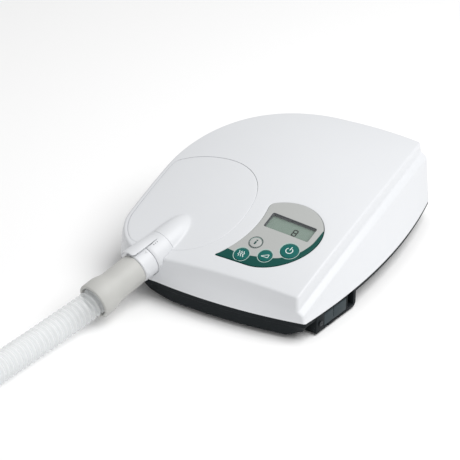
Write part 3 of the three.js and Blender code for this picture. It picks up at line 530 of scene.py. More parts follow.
def make_hose(cuffs):
    path, along = smooth_path(hose_route(), RIB_PITCH / 6)
    wave = 0.5 + 0.5 * np.cos(2 * math.pi * along / RIB_PITCH)
    radii = HOSE_RADIUS - 0.1 - RIB_DEPTH * (1 - wave ** 0.7)
    form = Form()
    form.loft(tube(path, radii, 24), caps=(0, -1))
    hose = form.build("breathing_hose", HOSE, ["hose_run", "hose_coil", "hose_end"], "hose_clear", angle=80)
    line, _ = smooth_path(hose_route(), 12)


# ---- the case's outer form
COUNTS = (40, 10, 64, 14, 36, 40, 14, 32)  # points on each stretch of an outline
STRETCH = np.repeat(np.arange(8), COUNTS)
# where a point lies on an outline: its stretch's number, plus the share of the stretch passed
WHERE = STRETCH + np.hstack([np.arange(n) / n for n in COUNTS])


def outline(o):
    """A closed plan outline, counter-clockwise from the left end of the front, always with the same
    number of points on each stretch."""
    def run(x0, y0, x1, y1, count, bulge_x=0, bulge_y=0):
        t = np.arange(count) / count
        swell = 4 * t * (1 - t)
        return np.stack([x0 + (x1 - x0) * t + bulge_x * swell, y0 + (y1 - y0) * t + bulge_y * swell], 1)

    def corner(cx, cy, rx, ry, quarter, count):
        a = math.pi / 2 * (quarter + np.arange(count) / count)
        return np.stack([cx + rx * np.cos(a), cy + ry * np.sin(a)], 1)

    (bx, by), (fx, fy), fr, br = o["back_left"], o["front_left"], o["front_right"], o["back_right"]
    left, right, right_back, front, back = (o[k] for k in ("left", "right", "right_back", "front", "back"))
    corner_back = o["corner_back"]
    return np.vstack([
        run(left + fx, front, right - fr, front, COUNTS[0], 0, o["front_bulge"]),
        corner(right - fr, front + fr, fr, fr, -1, COUNTS[1]),
        run(right, front + fr, right_back, corner_back - br, COUNTS[2], o["side_bulge"]),
        corner(right_back - br, corner_back - br, br, br, 0, COUNTS[3]),
        run(right_back - br, corner_back, left + bx, back, COUNTS[4], 0, o["back_bulge"]),
        corner(left + bx, back - by, bx, by, 1, COUNTS[5]),
        run(left, back - by, left, front + fy, COUNTS[6]),
        corner(left + fx, front + fy, fx, fy, 2, COUNTS[7]),
    ])


def roof(x, y):
    """Height of the roof over a place in plan: it rises to the back and is crowned in the middle."""
    to_back = (DEPTH - y) / (DEPTH - 6)
    across = (x - MIDDLE_X) / HALF_WIDTH
    crown = CROWN * (1 - ((y / DEPTH - 0.6) / 0.6) ** 2) * (1 - across * across)
    return SIDE_TOP - SIDE_DROP * to_back * to_back + crown


def shell_rings():
    """The shell's wall from its lower edge up over the rounded rim. On the right side it has a step;
    the step runs out to the planes of the front and the back, where it fades away."""
    rim, edge = outline(RIM), outline(EDGE)
    top = roof(rim[:, 0], rim[:, 1])
    out = edge - rim
    stepped = (STRETCH >= 1) & (STRETCH <= 3)
    first, last = np.flatnonzero(stepped)[[0, -1]]
    reach = np.where(stepped, out[:, 0], np.where(STRETCH > 3, out[last, 0], out[first, 0]))
    on_front, on_back = (step(rim[:, 0], rim[end, 0] - LEDGE_FADE, rim[end, 0]) for end in (first, last))
    share = np.where(stepped, 1, np.where(STRETCH == 0, on_front, np.where(STRETCH == 4, on_back, 0)))
    soft = np.interp(WHERE, [0, 1, 4, 5, 5.9, 7.2, 8], [2.2, 1.8, 2.0, 3, 1.5, 1.5, 2.2])
    to_back = np.interp(WHERE, [2, 3], [0, 1])
    inner = top - LEDGE["depth"] + LEDGE["rise"] * to_back
    outer = inner - LEDGE["slope"] - LEDGE["more_slope"] * to_back

    def spots(x, z):
        return np.stack([0 * top + x, z], 1)

    low = [spots(reach + (LEDGE["outer"] - reach) * k, SHELL_Z + (outer - 3 - SHELL_Z) * k)
           for k in (0, 0.2, 0.4, 0.6, 0.8)]
    corners = [low[-1], spots(LEDGE["outer"], outer), spots(LEDGE["inner"], inner),
               spots(LEDGE["inner"] * soft / LEDGE["riser"], top - soft)]
    section = low[:-1] + rounded(corners, [0, 1.8, 1.3, 0], 6)
    flare = np.interp(WHERE, [0, 5, 6, 7.6, 8], [FLARE, FLARE, FLARE_LEFT, FLARE_LEFT, FLARE])
    rings = []
    for offset_x, z in (ring.T for ring in section):
        level = np.clip((z - SHELL_Z) / (top - SHELL_Z), 0, 1)
        plain = (1 - level) ** flare
        x = rim[:, 0] + out[:, 0] * (share * offset_x / reach + (1 - share) * plain)
        rings.append(np.stack([x, rim[:, 1] + out[:, 1] * plain, z], 1))
    crest = np.column_stack([rim, top])
    lip = offset(rim, -soft)
    return rings[:-1] + list(bezier(rings[-1], crest, raised(lip, roof), 7))


def lip_rings(loop, height, out, down, deep):
    """The rounded edge of a surface along a loop, and the wall below it."""
    start, corner = raised(offset(loop, out), height), raised(loop, height)
    return [*bezier(start, corner, corner - [0, 0, down], 4), corner - [0, 0, deep]]


def trimmed(form, keep):
    """What is left of a form where the field keep, one number for each point, is positive."""
    points = list(np.vstack(form.points))
    values = keep(np.array(points))
    crossings, faces, marks = {}, [], []
    for face, mark in zip(form.faces, form.marks):
        kept = []
        for i, j in zip(face, face[1:] + face[:1]):
            if values[i] > 0:
                kept.append(i)
            if (values[i] > 0) != (values[j] > 0):
                a, b = min(i, j), max(i, j)
                if (a, b) not in crossings:
                    crossings[a, b] = len(points)
                    t = values[a] / (values[a] - values[b])
                    points.append(points[a] + (points[b] - points[a]) * t)
                kept.append(crossings[a, b])
        if len(kept) > 2:
            faces.append(kept)
            marks.append(mark)
    used = sorted({i for face in faces for i in face})
    place = {i: k for k, i in enumerate(used)}
    left = Form()
    left.add(np.array(points)[used], [[place[i] for i in face] for face in faces])
    left.marks = marks
    return left


def thicken(thickness):
    """What gives a skin a wall on its inner side."""
    def modify(made):
        wall = made.modifiers.new("wall", "SOLIDIFY")
        wall.thickness = thickness / 1000
        wall.offset = -1
    return modify


def on_outlet(points):
    """Distances from the outlet's axis and along it."""
    away = np.asarray(points) - OUTLET_AT
    s = away @ OUT
    return np.linalg.norm(away - np.outer(s, OUT), axis=1), s


OUTLET_HOLE = 15.6
LEVER_ROOM = 2.4  # how much wider that hole is beside the lever
COLLAR_FROM, COLLAR_TO, COLLAR_RADIUS = -3.0, 16.6, 15.4


def past_outlet_hole(points):
    """How far points lie outside the hole that the outlet's ring stands in, and how far along it."""
    ring, s = on_outlet(points)
    away = points - OUTLET_AT
    around = np.degrees(np.arctan2(away @ ABOVE, away @ SIDE))
    beside_lever = step(around, 74, 84) * (1 - step(around, 150, 156))
    return ring - OUTLET_HOLE - LEVER_ROOM * beside_lever, s


COVER_GAP = 0.2
CORNER = (-151, 45, 39)  # middle and radius of the cover's corner beside the outlet


def cover_outline(grow):
    """The side cover's plan outline, moved out by grow."""
    a = np.linspace(0, 2 * math.pi, 220, endpoint=False)
    c, s, r = np.cos(a), np.sin(a), COVER["radius"] + grow
    x = COVER["x"] + r * np.sign(c) * np.abs(c) ** (2 / COVER["power"])
    y = COVER["y"] + r * np.sign(s) * np.abs(s) ** (2 / COVER["power"])
    square = (c < 0) & (s < 0)  # towards the outlet the cover fills the case's rounded corner
    x = np.where(square, COVER["x"] - r * np.abs(c) ** (2 / COVER["outlet_power"]), x)
    y = np.where(square, COVER["y"] - r * np.abs(s) ** (2 / COVER["outlet_power"]), y)
    corner_x, corner_y, radius = CORNER
    in_corner = square & (x < corner_x) & (y < corner_y)
    pull = np.where(in_corner, (radius + grow) / np.hypot(x - corner_x, y - corner_y), 1)
    pull = np.minimum(pull, 1)
    x, y = corner_x + (x - corner_x) * pull, corner_y + (y - corner_y) * pull
    return evened(np.stack([np.maximum(x, COVER["left"] - grow), y], 1), 220, 6)


def outside_loop(points, loop):
    """Signed distance from a plan outline, positive outside it."""
    points = np.asarray(points)[:, :2]
    nearest = np.full(len(points), 1e9)
    for a, b in zip(loop, np.roll(loop, -1, 0)):
        t = np.clip(((points - a) @ (b - a)) / ((b - a) @ (b - a)), 0, 1)
        nearest = np.minimum(nearest, np.linalg.norm(points - a - t[:, None] * (b - a), axis=1))
    return np.where(inside(points, loop), -nearest, nearest)


# the holes in the back wall, for the inlet and the port: x and z of each, and half its width and height
SOCKETS = [(-40, 36, 14.3, 10.3), (-84, 33, 8.3, 6.3)]
# the posts inside the shell that the case screws go into: where each stands, and its height
SHELL_BOSSES = [(8, 196, 9), (-95, 240, 12), (-193.5, 118, 11), (-70, 14, 19)]


def block(x0, x1, y0, y1, z0, z1):
    """Corners and faces of a box."""
    corners = [[x, y, z] for z in (z0, z1) for x, y in ((x0, y0), (x1, y0), (x1, y1), (x0, y1))]
    return corners, [[3, 2, 1, 0], [4, 5, 6, 7], [0, 1, 5, 4], [1, 2, 6, 5], [2, 3, 7, 6], [3, 0, 4, 7]]


def no_change(made):
    pass


def build_cut(form, boxes, at, name, look, node, slot, body="case", before=no_change, after=no_change):
    """The piece with boxes cut out of it: at places their corners, and before and after add modifiers."""
    cutters = []
    for box in boxes:
        points, faces = block(*box)
        mesh = bpy.data.meshes.new("cutter")
        mesh.from_pydata(world(at(points)).tolist(), [], faces)
        cutters.append(bpy.data.objects.new("cutter", mesh))
        bpy.context.scene.collection.objects.link(cutters[-1])

    def modify(made):
        before(made)
        for cutter in cutters:
            cut = made.modifiers.new("cut", "BOOLEAN")
            cut.object = cutter
            cut.operation = "DIFFERENCE"
            cut.solver = "EXACT"
        after(made)

    form.build(name, look, [node], slot, body, modify=modify)
    for cutter in cutters:
        bpy.data.objects.remove(cutter)


def make_shell():
    form = Form()
    rings = shell_rings()
    form.loft(rings)
    hole = panel_outline(0.3)
    lip = 0.6
    plan, faces, _ = patch(rings[-1][:, :2], [offset(hole, lip)], 3.4)
    form.add(raised(plan, roof), faces)
    form.loft(lip_rings(hole, roof, lip, lip, 3.2))
    loop = cover_outline(0)
    form = trimmed(form, lambda p: np.where(p[:, 2] > 30, outside_loop(p, loop), 1))

    def clear_of_outlet(p):
        clear, s = past_outlet_hole(p)
        past_collar = step(s, COLLAR_TO - 1, COLLAR_TO)  # from there on the hole is narrower
        return np.where(s > -70, clear + 0.85 * past_collar, 1)

    form = trimmed(form, clear_of_outlet)
    boxes = [(x - w, x + w, 225, 260, z - h, z + h) for x, z, w, h in SOCKETS]
    build_cut(form, boxes, np.array, "shell_top", WHITE, "upper_shell", "housing_white",
              before=thicken(SHELL_WALL))


def make_bosses():
    posts = Form()
    for x, y, tall in SHELL_BOSSES:
        foot = np.array([x, y, SHELL_Z + 0.2])
        wall = [(4.2, 0), (4.2, tall), (1.7, tall), (1.7, 0), (4.2, 0)]
        posts.loft(turned(wall, foot, np.array([0, 0, 1.0]), 32))
    posts.build("shell_bosses", WHITE)


# ---- side cover
NOSE_LENGTH, NOSE_RADIUS, NOSE_POWER = 41.0, 15.2, 2.7
NOSE_LEAN = 2.3  # how far its far end leans to one side
BLEND = 1.1  # how softly it grows out of the cover


def nose(x, y):
    """Height of the tube that swells out of the side cover towards the outlet: the highest place over
    (x, y) that is still inside it."""
    z = np.arange(25, 70, 0.5)[:, None]
    away = [x[None, :] - OUTLET_AT[0], y[None, :] - OUTLET_AT[1], z - OUTLET_AT[2]]
    across, low, out = (sum(a * k for a, k in zip(away, axis)) for axis in (SIDE, ABOVE, OUT))
    t = np.clip(-out / NOSE_LENGTH, 0, 1)
    radius = NOSE_RADIUS * (1 - t ** NOSE_POWER) ** (1 / NOSE_POWER) - np.maximum(-out - NOSE_LENGTH, 0)
    depth = radius - np.hypot(across + NOSE_LEAN * t ** 2.2, low)
    top = np.full(len(x), 20.0)
    for k in range(len(z) - 1):
        leaving = (depth[k] >= 0) & (depth[k + 1] < 0)
        share = depth[k] / np.where(leaving, depth[k] - depth[k + 1], 1)
        top = np.where(leaving, z[k, 0] + 0.5 * share, top)
    return top


def cover_height(x, y):
    """The higher of the roof and the nose, blended where they meet."""
    a, b = roof(x, y), nose(x, y)
    return (a + b + np.sqrt((a - b) ** 2 + BLEND ** 2)) / 2 - 0.02


def make_cover():
    form = Form()
    edge = cover_outline(-COVER_GAP)
    start = offset(edge, -0.8)
    near_nose = (np.array([-143.0, 34.0]), 36, 1.1)
    plan, faces, _ = patch(start, [], 3.2, fine=near_nose)
    form.add(raised(plan, cover_height), faces)
    corner, sunk = raised(edge, cover_height), raised(edge, cover_height) - [0, 0, 0.7]
    skirt = raised(edge, lambda x, y: roof(x, y) - 6.5)
    form.loft(list(bezier(raised(start, cover_height), corner, sunk, 5)) + [skirt])

    def clear_of_outlet(p):
        clear, s = past_outlet_hole(p)
        return np.maximum(COLLAR_FROM - COVER_GAP - s, clear)

    form = trimmed(form, clear_of_outlet)
    form.build("cover_left", WHITE, ["side_cover"], "housing_white", modify=thicken(COVER_WALL))


# ---- control panel
def arc(cx, cy, radius, start, end, count):
    """Points on a circle, from one angle to another in degrees."""
    a = np.radians(np.linspace(start, end, count))
    return np.stack([cx + radius * np.cos(a), cy + radius * np.sin(a)], 1)


def panel_outline(grow):
    """A tilted ellipse, hollowed on the left beside the side cover, with a point at the lower left."""
    tilt = math.radians(PANEL["tilt"])
    a = np.radians(np.linspace(-100, 125, 96)) - tilt
    c, s = (PANEL["long"] + grow) * np.cos(a), (PANEL["short"] + grow) * np.sin(a)
    round_side = np.stack([PANEL["x"] + c * math.cos(tilt) - s * math.sin(tilt),
                           PANEL["y"] + c * math.sin(tilt) + s * math.cos(tilt)], 1)
    hollow = arc(COVER["x"], COVER["y"], PANEL["hollow"] - grow, 10, -42.5, 32)
    tip = np.array([PANEL["tip"]]) - grow
    return evened(np.vstack([round_side, hollow, tip]), 180, 3)


def roof_frame(x, y, turn=0.0):
    """Origin and axes of something that stands on the roof: along, across and up."""
    h = 0.5
    up = unit([-(roof(x + h, y) - roof(x - h, y)), -(roof(x, y + h) - roof(x, y - h)), 2 * h])
    along = np.array([math.cos(math.radians(turn)), math.sin(math.radians(turn)), 0])
    along = unit(along - up * (along @ up))
    return np.array([x, y, roof(x, y)]), along, np.cross(up, along), up


def placed(local, at):
    """Points given in a frame of its own, such as a roof_frame, in the case frame."""
    origin, along, across, up = at
    local = np.asarray(local, float)
    return origin + local[:, :1] * along + local[:, 1:2] * across + local[:, 2:3] * up


def rounded_box(half_x, half_y, radius):
    """A rectangle with rounded corners, about (0, 0)."""
    parts = []
    for k, (sx, sy) in enumerate(((1, 1), (-1, 1), (-1, -1), (1, -1))):
        parts.append(arc(sx * (half_x - radius), sy * (half_y - radius), radius, 90 * k, 90 * k + 90, 7))
    return np.vstack(parts)


WINDOW_FRAME = roof_frame(WINDOW["x"], WINDOW["y"], WINDOW["turn"])
PANEL_PROUD = 0.4  # how far the panel stands out of the roof


def window_loop(grow, z=0.0):
    """The display window's outline moved out by grow, z above the roof."""
    loop = rounded_box(WINDOW["length"] / 2 + grow, WINDOW["width"] / 2 + grow, 1.2 + grow)
    return placed(np.column_stack([loop, 0 * loop[:, 0] + z]), WINDOW_FRAME)


# where the panel's silver meets its green band, from left to right
BAND_LINE = [(-104, 36), (-93, 31), (-82, 28.8), (-74, 28.4), (-66, 29), (-55, 31), (-44, 34), (-37, 38.5),
             (-29, 46), (-25, 53), (-22.6, 60), (-21.6, 68), (-21, 75), (-20, 84), (-17, 96)]
KEY_GAP, KEY_RING = 0.22, 1.0  # the gap round a key, and the width of the ring round it: the surround's own grey, painted lighter as the highlight of a raised rim
PANEL_LOOKS = [SILVER, BAND, RING_GREY, RECESS_SHADE, MINT_HIGHLIGHT]


def make_panel():
    def height(x, y):
        return roof(x, y) + PANEL_PROUD

    form = Form()
    edge = panel_outline(-0.25)
    keys = [arc(x, y, r + KEY_GAP, 0, 352.5, 48) for x, y, r in BUTTONS.values()]
    rings = [arc(x, y, r + (1.2 if name == "info" else KEY_RING), 0, 352.5, 48)
             for name, (x, y, r) in BUTTONS.items()]
    window = window_loop(0.2)[:, :2]
    line, _ = smooth_path(np.array([(x, y, 0.0) for x, y in BAND_LINE]), 1.5)
    line = line[:, :2]
    silver_side = np.vstack([line, [(10, 96), (10, 150), (-150, 150), (-150, 36)]])

    def print_at(middle):
        return SILVER if inside(middle[None, :2], silver_side)[0] else BAND

    holes = [offset(loop, 0.25) for loop in (window, *keys)]
    plan, faces, middles = patch(offset(edge, -0.5), holes, 2.4, lines=rings, cuts=[line])
    form.add(raised(plan, height), faces)
    looks = []
    for middle in middles:
        ringed = [name for name, (x, y, r) in BUTTONS.items()
                  if math.hypot(middle[0] - x, middle[1] - y) < r + KEY_RING]
        # the info key's ring is printed dark grey; the other rings carry the painted highlight of a raised
        # rim
        ring_look = RING_GREY if ringed == ["info"] else MINT_HIGHLIGHT
        looks.append(ring_look if ringed else print_at(middle))

    def lip(loop, grow, depth):
        form.loft(lip_rings(loop, height, grow, 0.3, depth))
        return form.faces[len(looks):]

    edge_faces = lip(edge, -0.5, 2.6)
    points = np.vstack(form.points)
    looks += [print_at(points[face].mean(0)) for face in edge_faces]
    # the window's walls take the painted shade of the recess
    looks += [RECESS_SHADE for _ in lip(window, 0.25, 3.9)]
    for key in keys:
        # the walls round each key carry the painted highlight too
        looks += [MINT_HIGHLIGHT for _ in lip(key, 0.15, 2.6)]
    form.marks = [PANEL_LOOKS.index(look) for look in looks]
    form.build("key_panel", PANEL_LOOKS, ["control_panel"], "panel_silver")


# ---- keys
KEY_TOP, DOME = 1.15, 0.5  # a key's height in its middle, and how much lower its rim is


def dome(local, radius):
    """Height of a key's top over a place on it."""
    return KEY_TOP - DOME * (np.linalg.norm(local, axis=-1) / radius) ** 2


def stroke(form, line, width, at, radius, closed=False):
    """A printed line on a key's domed top: a ribbon that stands a little out of it."""
    line = np.asarray(line, float)
    along = np.roll(line, -1, 0) - np.roll(line, 1, 0) if closed else np.gradient(line, axis=0)
    along /= np.linalg.norm(along, axis=1, keepdims=True)
    side = np.stack([-along[:, 1], along[:, 0]], 1) * width / 2
    left, right = line + side, line - side
    stations = []
    proud, sunk = 0.07, 0.2
    for a, b in zip(left, right):
        za, zb = dome(a, radius), dome(b, radius)
        ring = [[*a, za + proud], [*b, zb + proud], [*b, zb - sunk], [*a, za - sunk]]
        stations.append(placed(ring, at))
    if closed:
        form.loft(stations + stations[:1], 1)
    else:
        form.loft(stations, 1, caps=(0, -1))


def icon(form, name, at, radius):
    """A key's plain mark: a stroke and a dot, three wavy lines, a wedge, or a ring with a bar."""
    if name == "info":
        stroke(form, [(-0.25, -2.5), (0, -1), (0.25, 0.8)], 1.5, at, radius)
        stroke(form, [(0.45, 1.6), (0.55, 2.2), (0.6, 2.8)], 1.5, at, radius)
    if name == "heater":
        for x in (-2.1, 0, 2.1):
            y = np.linspace(-2.9, 2.9, 22)
            stroke(form, np.stack([x + 0.55 * np.sin(y * 2.1), y], 1), 0.62, at, radius)
    if name == "ramp":
        wedge = [(-3.2, -1.8), (3.2, -1.8), (3.2, 1.8)]
        line = []
        for a, b in zip(wedge, wedge[1:] + wedge[:1]):
            line += [np.array(a) + (np.array(b) - a) * k for k in (0.06, 0.35, 0.65, 0.94)]
        stroke(form, line, 0.55, at, radius, closed=True)
    if name == "power":
        stroke(form, arc(0, -0.3, 3.0, 125, 415, 40), 0.75, at, radius)
        stroke(form, [(0.1, 0.2), (0.5, 2.2), (0.9, 4.3)], 0.8, at, radius)


def make_keys():
    for name, (x, y, r) in BUTTONS.items():
        at = roof_frame(x, y)
        form = Form()
        dome_profile = [(k, dome(np.array([k, 0]), r)) for k in np.linspace(r - 0.9, 0.02, 9)]
        edge = [np.array(p) for p in ((r, 0.0), (r, KEY_TOP - DOME), (r - 0.9, dome_profile[0][1]))]
        side = [(r, -4.0), (r, -2.0)] + [tuple(p) for p in rounded(edge, [0, 0.7, 0], 6)][:-1]
        form.loft(turned(side + dome_profile, at[0], at[3], 56), caps=(0, -1))
        icon(form, name, at, r)
        looks, slot = ([SILVER, INK], "panel_silver") if name == "info" else ([TEAL, MARK], "button_teal")
        form.build("key_" + name, looks, ["button_" + name], slot, name + "_button", angle=50)


# ---- display
SEGMENT_HALF = (1.5, 0.5)  # half the length and the width of a bar of the numeral
NUMERAL_AT = (5.3, -1.9, 0)


def make_display():
    """The clear pane, and the display under it, which shows one numeral with all its bars."""
    form = Form()
    form.loft([window_loop(-0.3, -1.6), window_loop(-0.3, -0.7), window_loop(-0.55, -0.5)], caps=(0, -1))
    form.build("window_pane", CLEAR, ["display_window"], "display_clear")
    panel = Form()
    panel.loft([window_loop(-0.2, -6.4), window_loop(-0.2, -3.2)], caps=(0, -1))
    bars = [(0, 3.5, 1), (1.75, 1.75, 0), (1.75, -1.75, 0), (0, -3.5, 1), (-1.75, -1.75, 0),
            (-1.75, 1.75, 0), (0, 0, 1)]
    for x, y, flat in bars:
        half_x, half_y = SEGMENT_HALF if flat else SEGMENT_HALF[::-1]
        points, faces = block(x - half_x, x + half_x, y - half_y, y + half_y, -3.3, -3.0)
        panel.add(placed(np.array(points) + NUMERAL_AT, WINDOW_FRAME), faces, 1)
    panel.build("display", [SCREEN, SEGMENT], ["lcd_module"], "lcd_grey")


# ---- base tray
# the base's section from its underside up, as heights and distances in from the shell's edge: first
# along the front, then along the sides, and the front's share in it at the front's right end
HULL = [((3, 3.5), (3, 17), 0.4), ((4, 1.8), (4.2, 14), 0.5), ((8, 1.2), (8, 12.5), 0.72),
        ((14.2, 1.0), (15.0, 10), 1.0), ((14.6, 0.4), (15.4, 0.4), 1.0), ((18.8, 0.4), (18.8, 0.4), 1.0)]


def shrunk(o, d, tightest=2):
    """An outline's sizes, each side moved in by d."""
    made = dict(o)
    for side in ("left", "front"):
        made[side] += d
    for side in ("right", "right_back", "back", "corner_back"):
        made[side] -= d
    for corner in ("front_right", "back_right"):
        made[corner] = max(o[corner] - d, tightest)
    for corner in ("back_left", "front_left"):
        made[corner] = [r - d for r in o[corner]]
    return made


BAY_LENGTH = 57  # of the filter compartment, which stands along the right side, turned a little
BAY_DEPTH, BAY_GAP = 18, 0.2
BAY_AT, BAY_TURN = np.array([4.5, 14, 0]), math.radians(-10.1)
BAY_X = np.array([math.cos(BAY_TURN), math.sin(BAY_TURN), 0])
BAY_Y = np.array([-math.sin(BAY_TURN), math.cos(BAY_TURN), 0])


def in_bay(local):
    """Points given in the compartment's frame, in the case frame: x outwards, y along it to the back."""
    return placed(local, (BAY_AT, BAY_X, BAY_Y, np.array([0, 0, 1])))


def make_base():
    rings = []
    for (front_z, front_in), (side_z, side_in), hold in HULL:
        places, shares = [0, 0.12, 0.91, 1, 1.9, 2.06, 7.6, 8], [0.8, 1, 1, hold, hold, 0, 0, 0.8]
        share = np.interp(WHERE, places, shares)[:, None]
        plan = outline(shrunk(EDGE, side_in)) * (1 - share) + outline(shrunk(EDGE, front_in)) * share
        rings.append(np.hstack([plan, side_z * (1 - share) + front_z * share]))
    section = rounded(rings, [0, 1.2, 3, 0.5, 0.4, 0], 5)
    form = Form()
    form.loft(section)
    x, y, _ = SHELL_BOSSES[-1]
    well = arc(x, y, 4.0, 0, 345, 24)  # the front case screw's hole
    plan, faces, _ = patch(section[0][:, :2], [well], 7)
    form.add(raised(plan, lambda x, y: 0 * x + BASE_Z), faces)
    sunk = [np.column_stack([well, 0 * well[:, 0] + z]) for z in (BASE_Z, 12.4, 15.1)]
    form.loft(sunk, caps=(-1,))

    def clear_of_bay(p):
        away = p - BAY_AT
        x, y = away @ BAY_X, away @ BAY_Y
        return np.max([-x - BAY_DEPTH - BAY_GAP, x - 14, -y - BAY_GAP, y - BAY_LENGTH - BAY_GAP], 0)

    form = trimmed(form, clear_of_bay)
    form.build("base_moulding", CHARCOAL, ["base_tray"], "base_charcoal", modify=thicken(BASE_WALL))


# ---- filter compartment
def round_edges(width):
    """What rounds a piece's sharp edges to that width."""
    def modify(made):
        edges = made.modifiers.new("edges", "BEVEL")
        edges.width = width / 1000
        edges.segments = 3
        edges.limit_method = "ANGLE"
        edges.angle_limit = math.radians(35)
        even = made.modifiers.new("even", "WEIGHTED_NORMAL")
        even.keep_sharp = True
    return modify


def make_compartment():
    """The dark block: its face carries the door, its back end has the finger niche."""
    corner = arc(BAY_LENGTH - 4.5, 6.5, 4.5, -90, 0, 8)
    face = np.vstack([[(0, 18.6), (0, 2)], corner, [(BAY_LENGTH, 18.6)]])
    form = Form()
    form.loft([in_bay(np.column_stack([0 * face[:, 0] + x, face])) for x in (-BAY_DEPTH, 0)], caps=(0, -1))
    boxes = [
        (-3, 2, 10.7, 43.3, 3.8, 17.3),  # the door's frame
        (-13.5, -2, 13, 41, 5.4, 16),  # room for the two filters
        (-9, 2, 44.6, 53.6, 5, 20),  # the finger niche
        (-25, -12, 19, 35, 7, 14),  # the air's way into the case
        (-3.5, 1, 15.5, 17, 1, 5),  # two slots under the door
        (-3.5, 1, 30, 31.5, 1, 5),
    ]
    build_cut(form, boxes, in_bay, "compartment", CHARCOAL, "filter_compartment", "base_charcoal",
              after=round_edges(0.4))


def make_door():
    """The door's leaf with its thin grooves, and the round heel that turns on the hinge pin."""
    form = Form()
    points, faces = block(-2, 0, 11.2, 42.8, 4.7, 16.5)
    form.add(in_bay(points), faces)
    grooves = [(-0.5, 1, 24.0, 24.7, 7, 19), (-0.35, 1, 11, 43, 15.7, 16.0)]
    build_cut(form, grooves, in_bay, "door_leaf", DOOR_GREY, "filter_door", "base_charcoal", "door",
              after=round_edges(0.3))
    heel = Form()
    hinge = in_bay([(-1.3, 11.2, 5.3)])[0]
    heel.loft(turned([(1.3, 0), (1.3, 31.6)], hinge, BAY_Y, 32), caps=(0, -1))
    heel.build("door_heel", CHARCOAL, body="door")


# ---- pieces refined from the CAD solids
def refined(node, look, width):
    """A copy of a CAD node's mesh with its edges rounded to that width, in place of the node."""
    source = frame["nodes"][node]
    mesh = source.data.copy()
    mesh.transform(source.matrix_world)
    mesh.materials.clear()
    mesh.materials.append(look)
    tidy(mesh)
    finished(node + "_fine", mesh, [node], modify=round_edges(width))


# ---- outlet
# Profiles here are pairs of a radius about the outlet's axis and a distance along it.
LEVER_MIDDLE, LEVER_HALF = 112, 34  # degrees round the outlet: the lever's middle and half its width
LEVER_PIN_AT = 5  # distance of its hinge along the outlet
GROOVE_FROM, GROOVE_RADIUS = 3.95, 14.3  # the ring is cut back under the lever, so that it can be pressed


def make_collar():
    """The ring that carries the lever, with three small printed dots beside it."""
    ring = Form()
    start, end, r = COLLAR_FROM, COLLAR_TO, COLLAR_RADIUS
    profile = [(11.6, start - 4), (13.0, start - 4), (13.0, start), (r - 0.3, start), (r, start + 0.3),
               (r, 3.9), (r, 4.0), (r - 0.1, 9), (r - 0.2, 12.5), (r - 0.3, end - 0.5), (r - 0.7, end),
               (11.6, end), (11.6, start - 4)]
    sides = 240
    around = np.linspace(0, 360, sides, endpoint=False)
    rings = []
    for (radius, s), circle in zip(profile, turned(profile, OUTLET_AT, OUT, sides)):
        if s > GROOVE_FROM and radius > GROOVE_RADIUS:
            # the groove widens towards the lever's free end, because the lever swings sideways too
            spare = 0.4 + 2.6 * max(0.0, s - LEVER_PIN_AT) / (end - LEVER_PIN_AT)
            under = np.abs(around - LEVER_MIDDLE)[:, None] < LEVER_HALF + spare
            centre = outlet_point(s)
            circle = np.where(under, centre + (circle - centre) * GROOVE_RADIUS / radius, circle)
        rings.append(circle)
    ring.loft(rings)
    ray, _ = outlet_ray(69)
    for s in (5.5, 7.6, 9.7):
        foot = outlet_point(s) + ray * (r - 0.05)
        ring.loft(turned([(0.42, -0.4), (0.42, 0.05), (0.3, 0.1)], foot, ray, 12), 1, caps=(-1,))
    ring.build("collar_ring", [WHITE, RING_GREY], ["outlet_collar"], "housing_white")


def make_connector():
    """The ring and the cone that the hose is pushed on, with a small printed wedge."""
    form = Form()
    profile = [(9.5, -6), (11.1, -6), (11.1, 16.7), (13.9, 16.7), (14.4, 17.1), (14.36, 18.5), (14.15, 28),
               (14.1, 30.2), (13.3, 31), (11, 31.2), (10.9, 53.6), (10.5, 54), (9.5, 54), (9.5, -6)]
    form.loft(turned(profile, OUTLET_AT, OUT, 96))
    ray, wide = outlet_ray(66)
    wedge = [(19, -1.4), (19, 1.4), (21.6, 0)]
    points = [outlet_point(s) + wide * y + ray * z for z in (13.9, 14.4) for s, y in wedge]
    form.add(points, [[2, 1, 0], [3, 4, 5], [0, 1, 4, 3], [1, 2, 5, 4], [2, 0, 3, 5]], 1)
    form.build("connector_fine", [WHITE, PLATE], ["outlet_connector"], "housing_white")


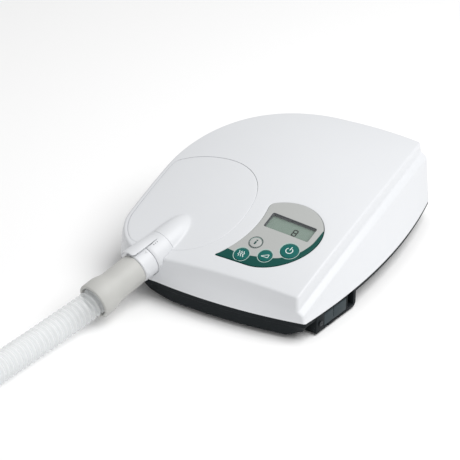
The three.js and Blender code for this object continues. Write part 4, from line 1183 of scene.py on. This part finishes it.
def make_lever():
    """The tab that releases the connector: it grows out of the ring and its free end can be pressed."""
    # its section: radii of its outer and inner sides at distances along the outlet
    along = np.array([1.8, 5, 10, 16, 20, 26, 30, 31.4, 32])
    outer = np.array([15.5, 15.8, 16.5, 17.1, 17.35, 17.6, 17.7, 17.65, 17.3])
    inner = np.array([15.44, 15.46, 15.46, 15.55, 15.85, 16.25, 16.6, 16.75, 16.95])
    flush = np.interp(along, [16, 20], [1.0, 0.35])  # how far its sides sink to the ring's surface
    stations = []
    for k in np.linspace(-1, 1, 33):
        over = outer - (outer - 15.5) * flush * abs(k) ** 3
        ends = np.where(along > 27, 3.0 * max(0.0, abs(k) - 0.8) ** 2 / 0.04, 0)  # its rounded corners
        r = np.hstack([over, inner[::-1]])
        s = np.hstack([along - ends, (along - ends)[::-1]])
        ray, _ = outlet_ray(LEVER_MIDDLE + LEVER_HALF * k)
        stations.append(OUTLET_AT + np.outer(s, OUT) + np.outer(r, ray))
    form = Form()
    form.loft(stations, caps=(0, -1))
    form.build("lever_tab", WHITE, ["release_lever"], "housing_white", body="lever", angle=50)
    up, wide = outlet_ray(LEVER_MIDDLE)
    pin = Form()
    seat = outlet_point(LEVER_PIN_AT) + up * 13.4 - wide * 4
    pin.loft(turned([(0.5, 0), (0.6, 0.15), (0.6, 7.85), (0.5, 8)], seat, wide, 20), caps=(0, -1))
    pin.build("lever_hinge_pin", STEEL, ["lever_pin"], "steel")


def cuff_profile(s0, s1):
    """A cuff's section: from s0, where it fits a connector, it flares to the mouth at s1 for the tube."""
    flare, r, mouth = s1 - 22, CUFF_RADIUS, CUFF_MOUTH
    outer = [(r - 0.8, s0), (r - 0.2, s0 + 0.35), (r, s0 + 1.1), (r, flare - 8), (r + 0.05, flare - 2),
             (r + 0.35, flare + 2), (mouth - 0.55, s1 - 14.5), (mouth - 0.1, s1 - 12), (mouth, s1 - 9),
             (mouth, s1 - 1), (mouth - 0.35, s1 - 0.25), (mouth - 0.9, s1)]
    inner = [(13.8, s1), (13.6, s1 - 0.3), (13.6, s1 - 6), (12.8, s1 - 6.4), (11.5, s1 - 19),
             (11.3, s1 - 20.5), (11.3, s0 + 0.3), (11.6, s0)]
    return outer + inner + outer[:1]


def make_cuffs():
    """The hose's two cuffs: one on the connector, one on the coil's end."""
    form = Form()
    form.loft(turned(cuff_profile(CUFF_FROM, CUFF_TO), OUTLET_AT, OUT, 80))
    near = form.build("cuff_near", CUFF, ["hose_cuff"], "grey_rubber", angle=50)
    at, out = coil_end()
    start = at + out * 0.4
    start[2] = TOP + CUFF_LIFT
    length = CUFF_TO - CUFF_FROM
    profile = [(r, -s) for r, s in cuff_profile(-length, 0)]
    far = Form()
    far.loft(turned(profile, start, out, 80))
    return near, far.build("cuff_far", CUFF, ["hose_cuff_far"], "grey_rubber", angle=50)


make_shell()
make_bosses()
make_cover()
make_panel()
make_keys()
make_display()
make_base()
make_collar()
make_connector()
make_hose(make_cuffs())
make_compartment()
make_door()
make_lever()
refined("compartment_screw", DARK_STEEL, 0.2)
refined("mains_inlet", BLACK, 0.4)
refined("service_port", BLACK, 0.4)

low, high = cad_box
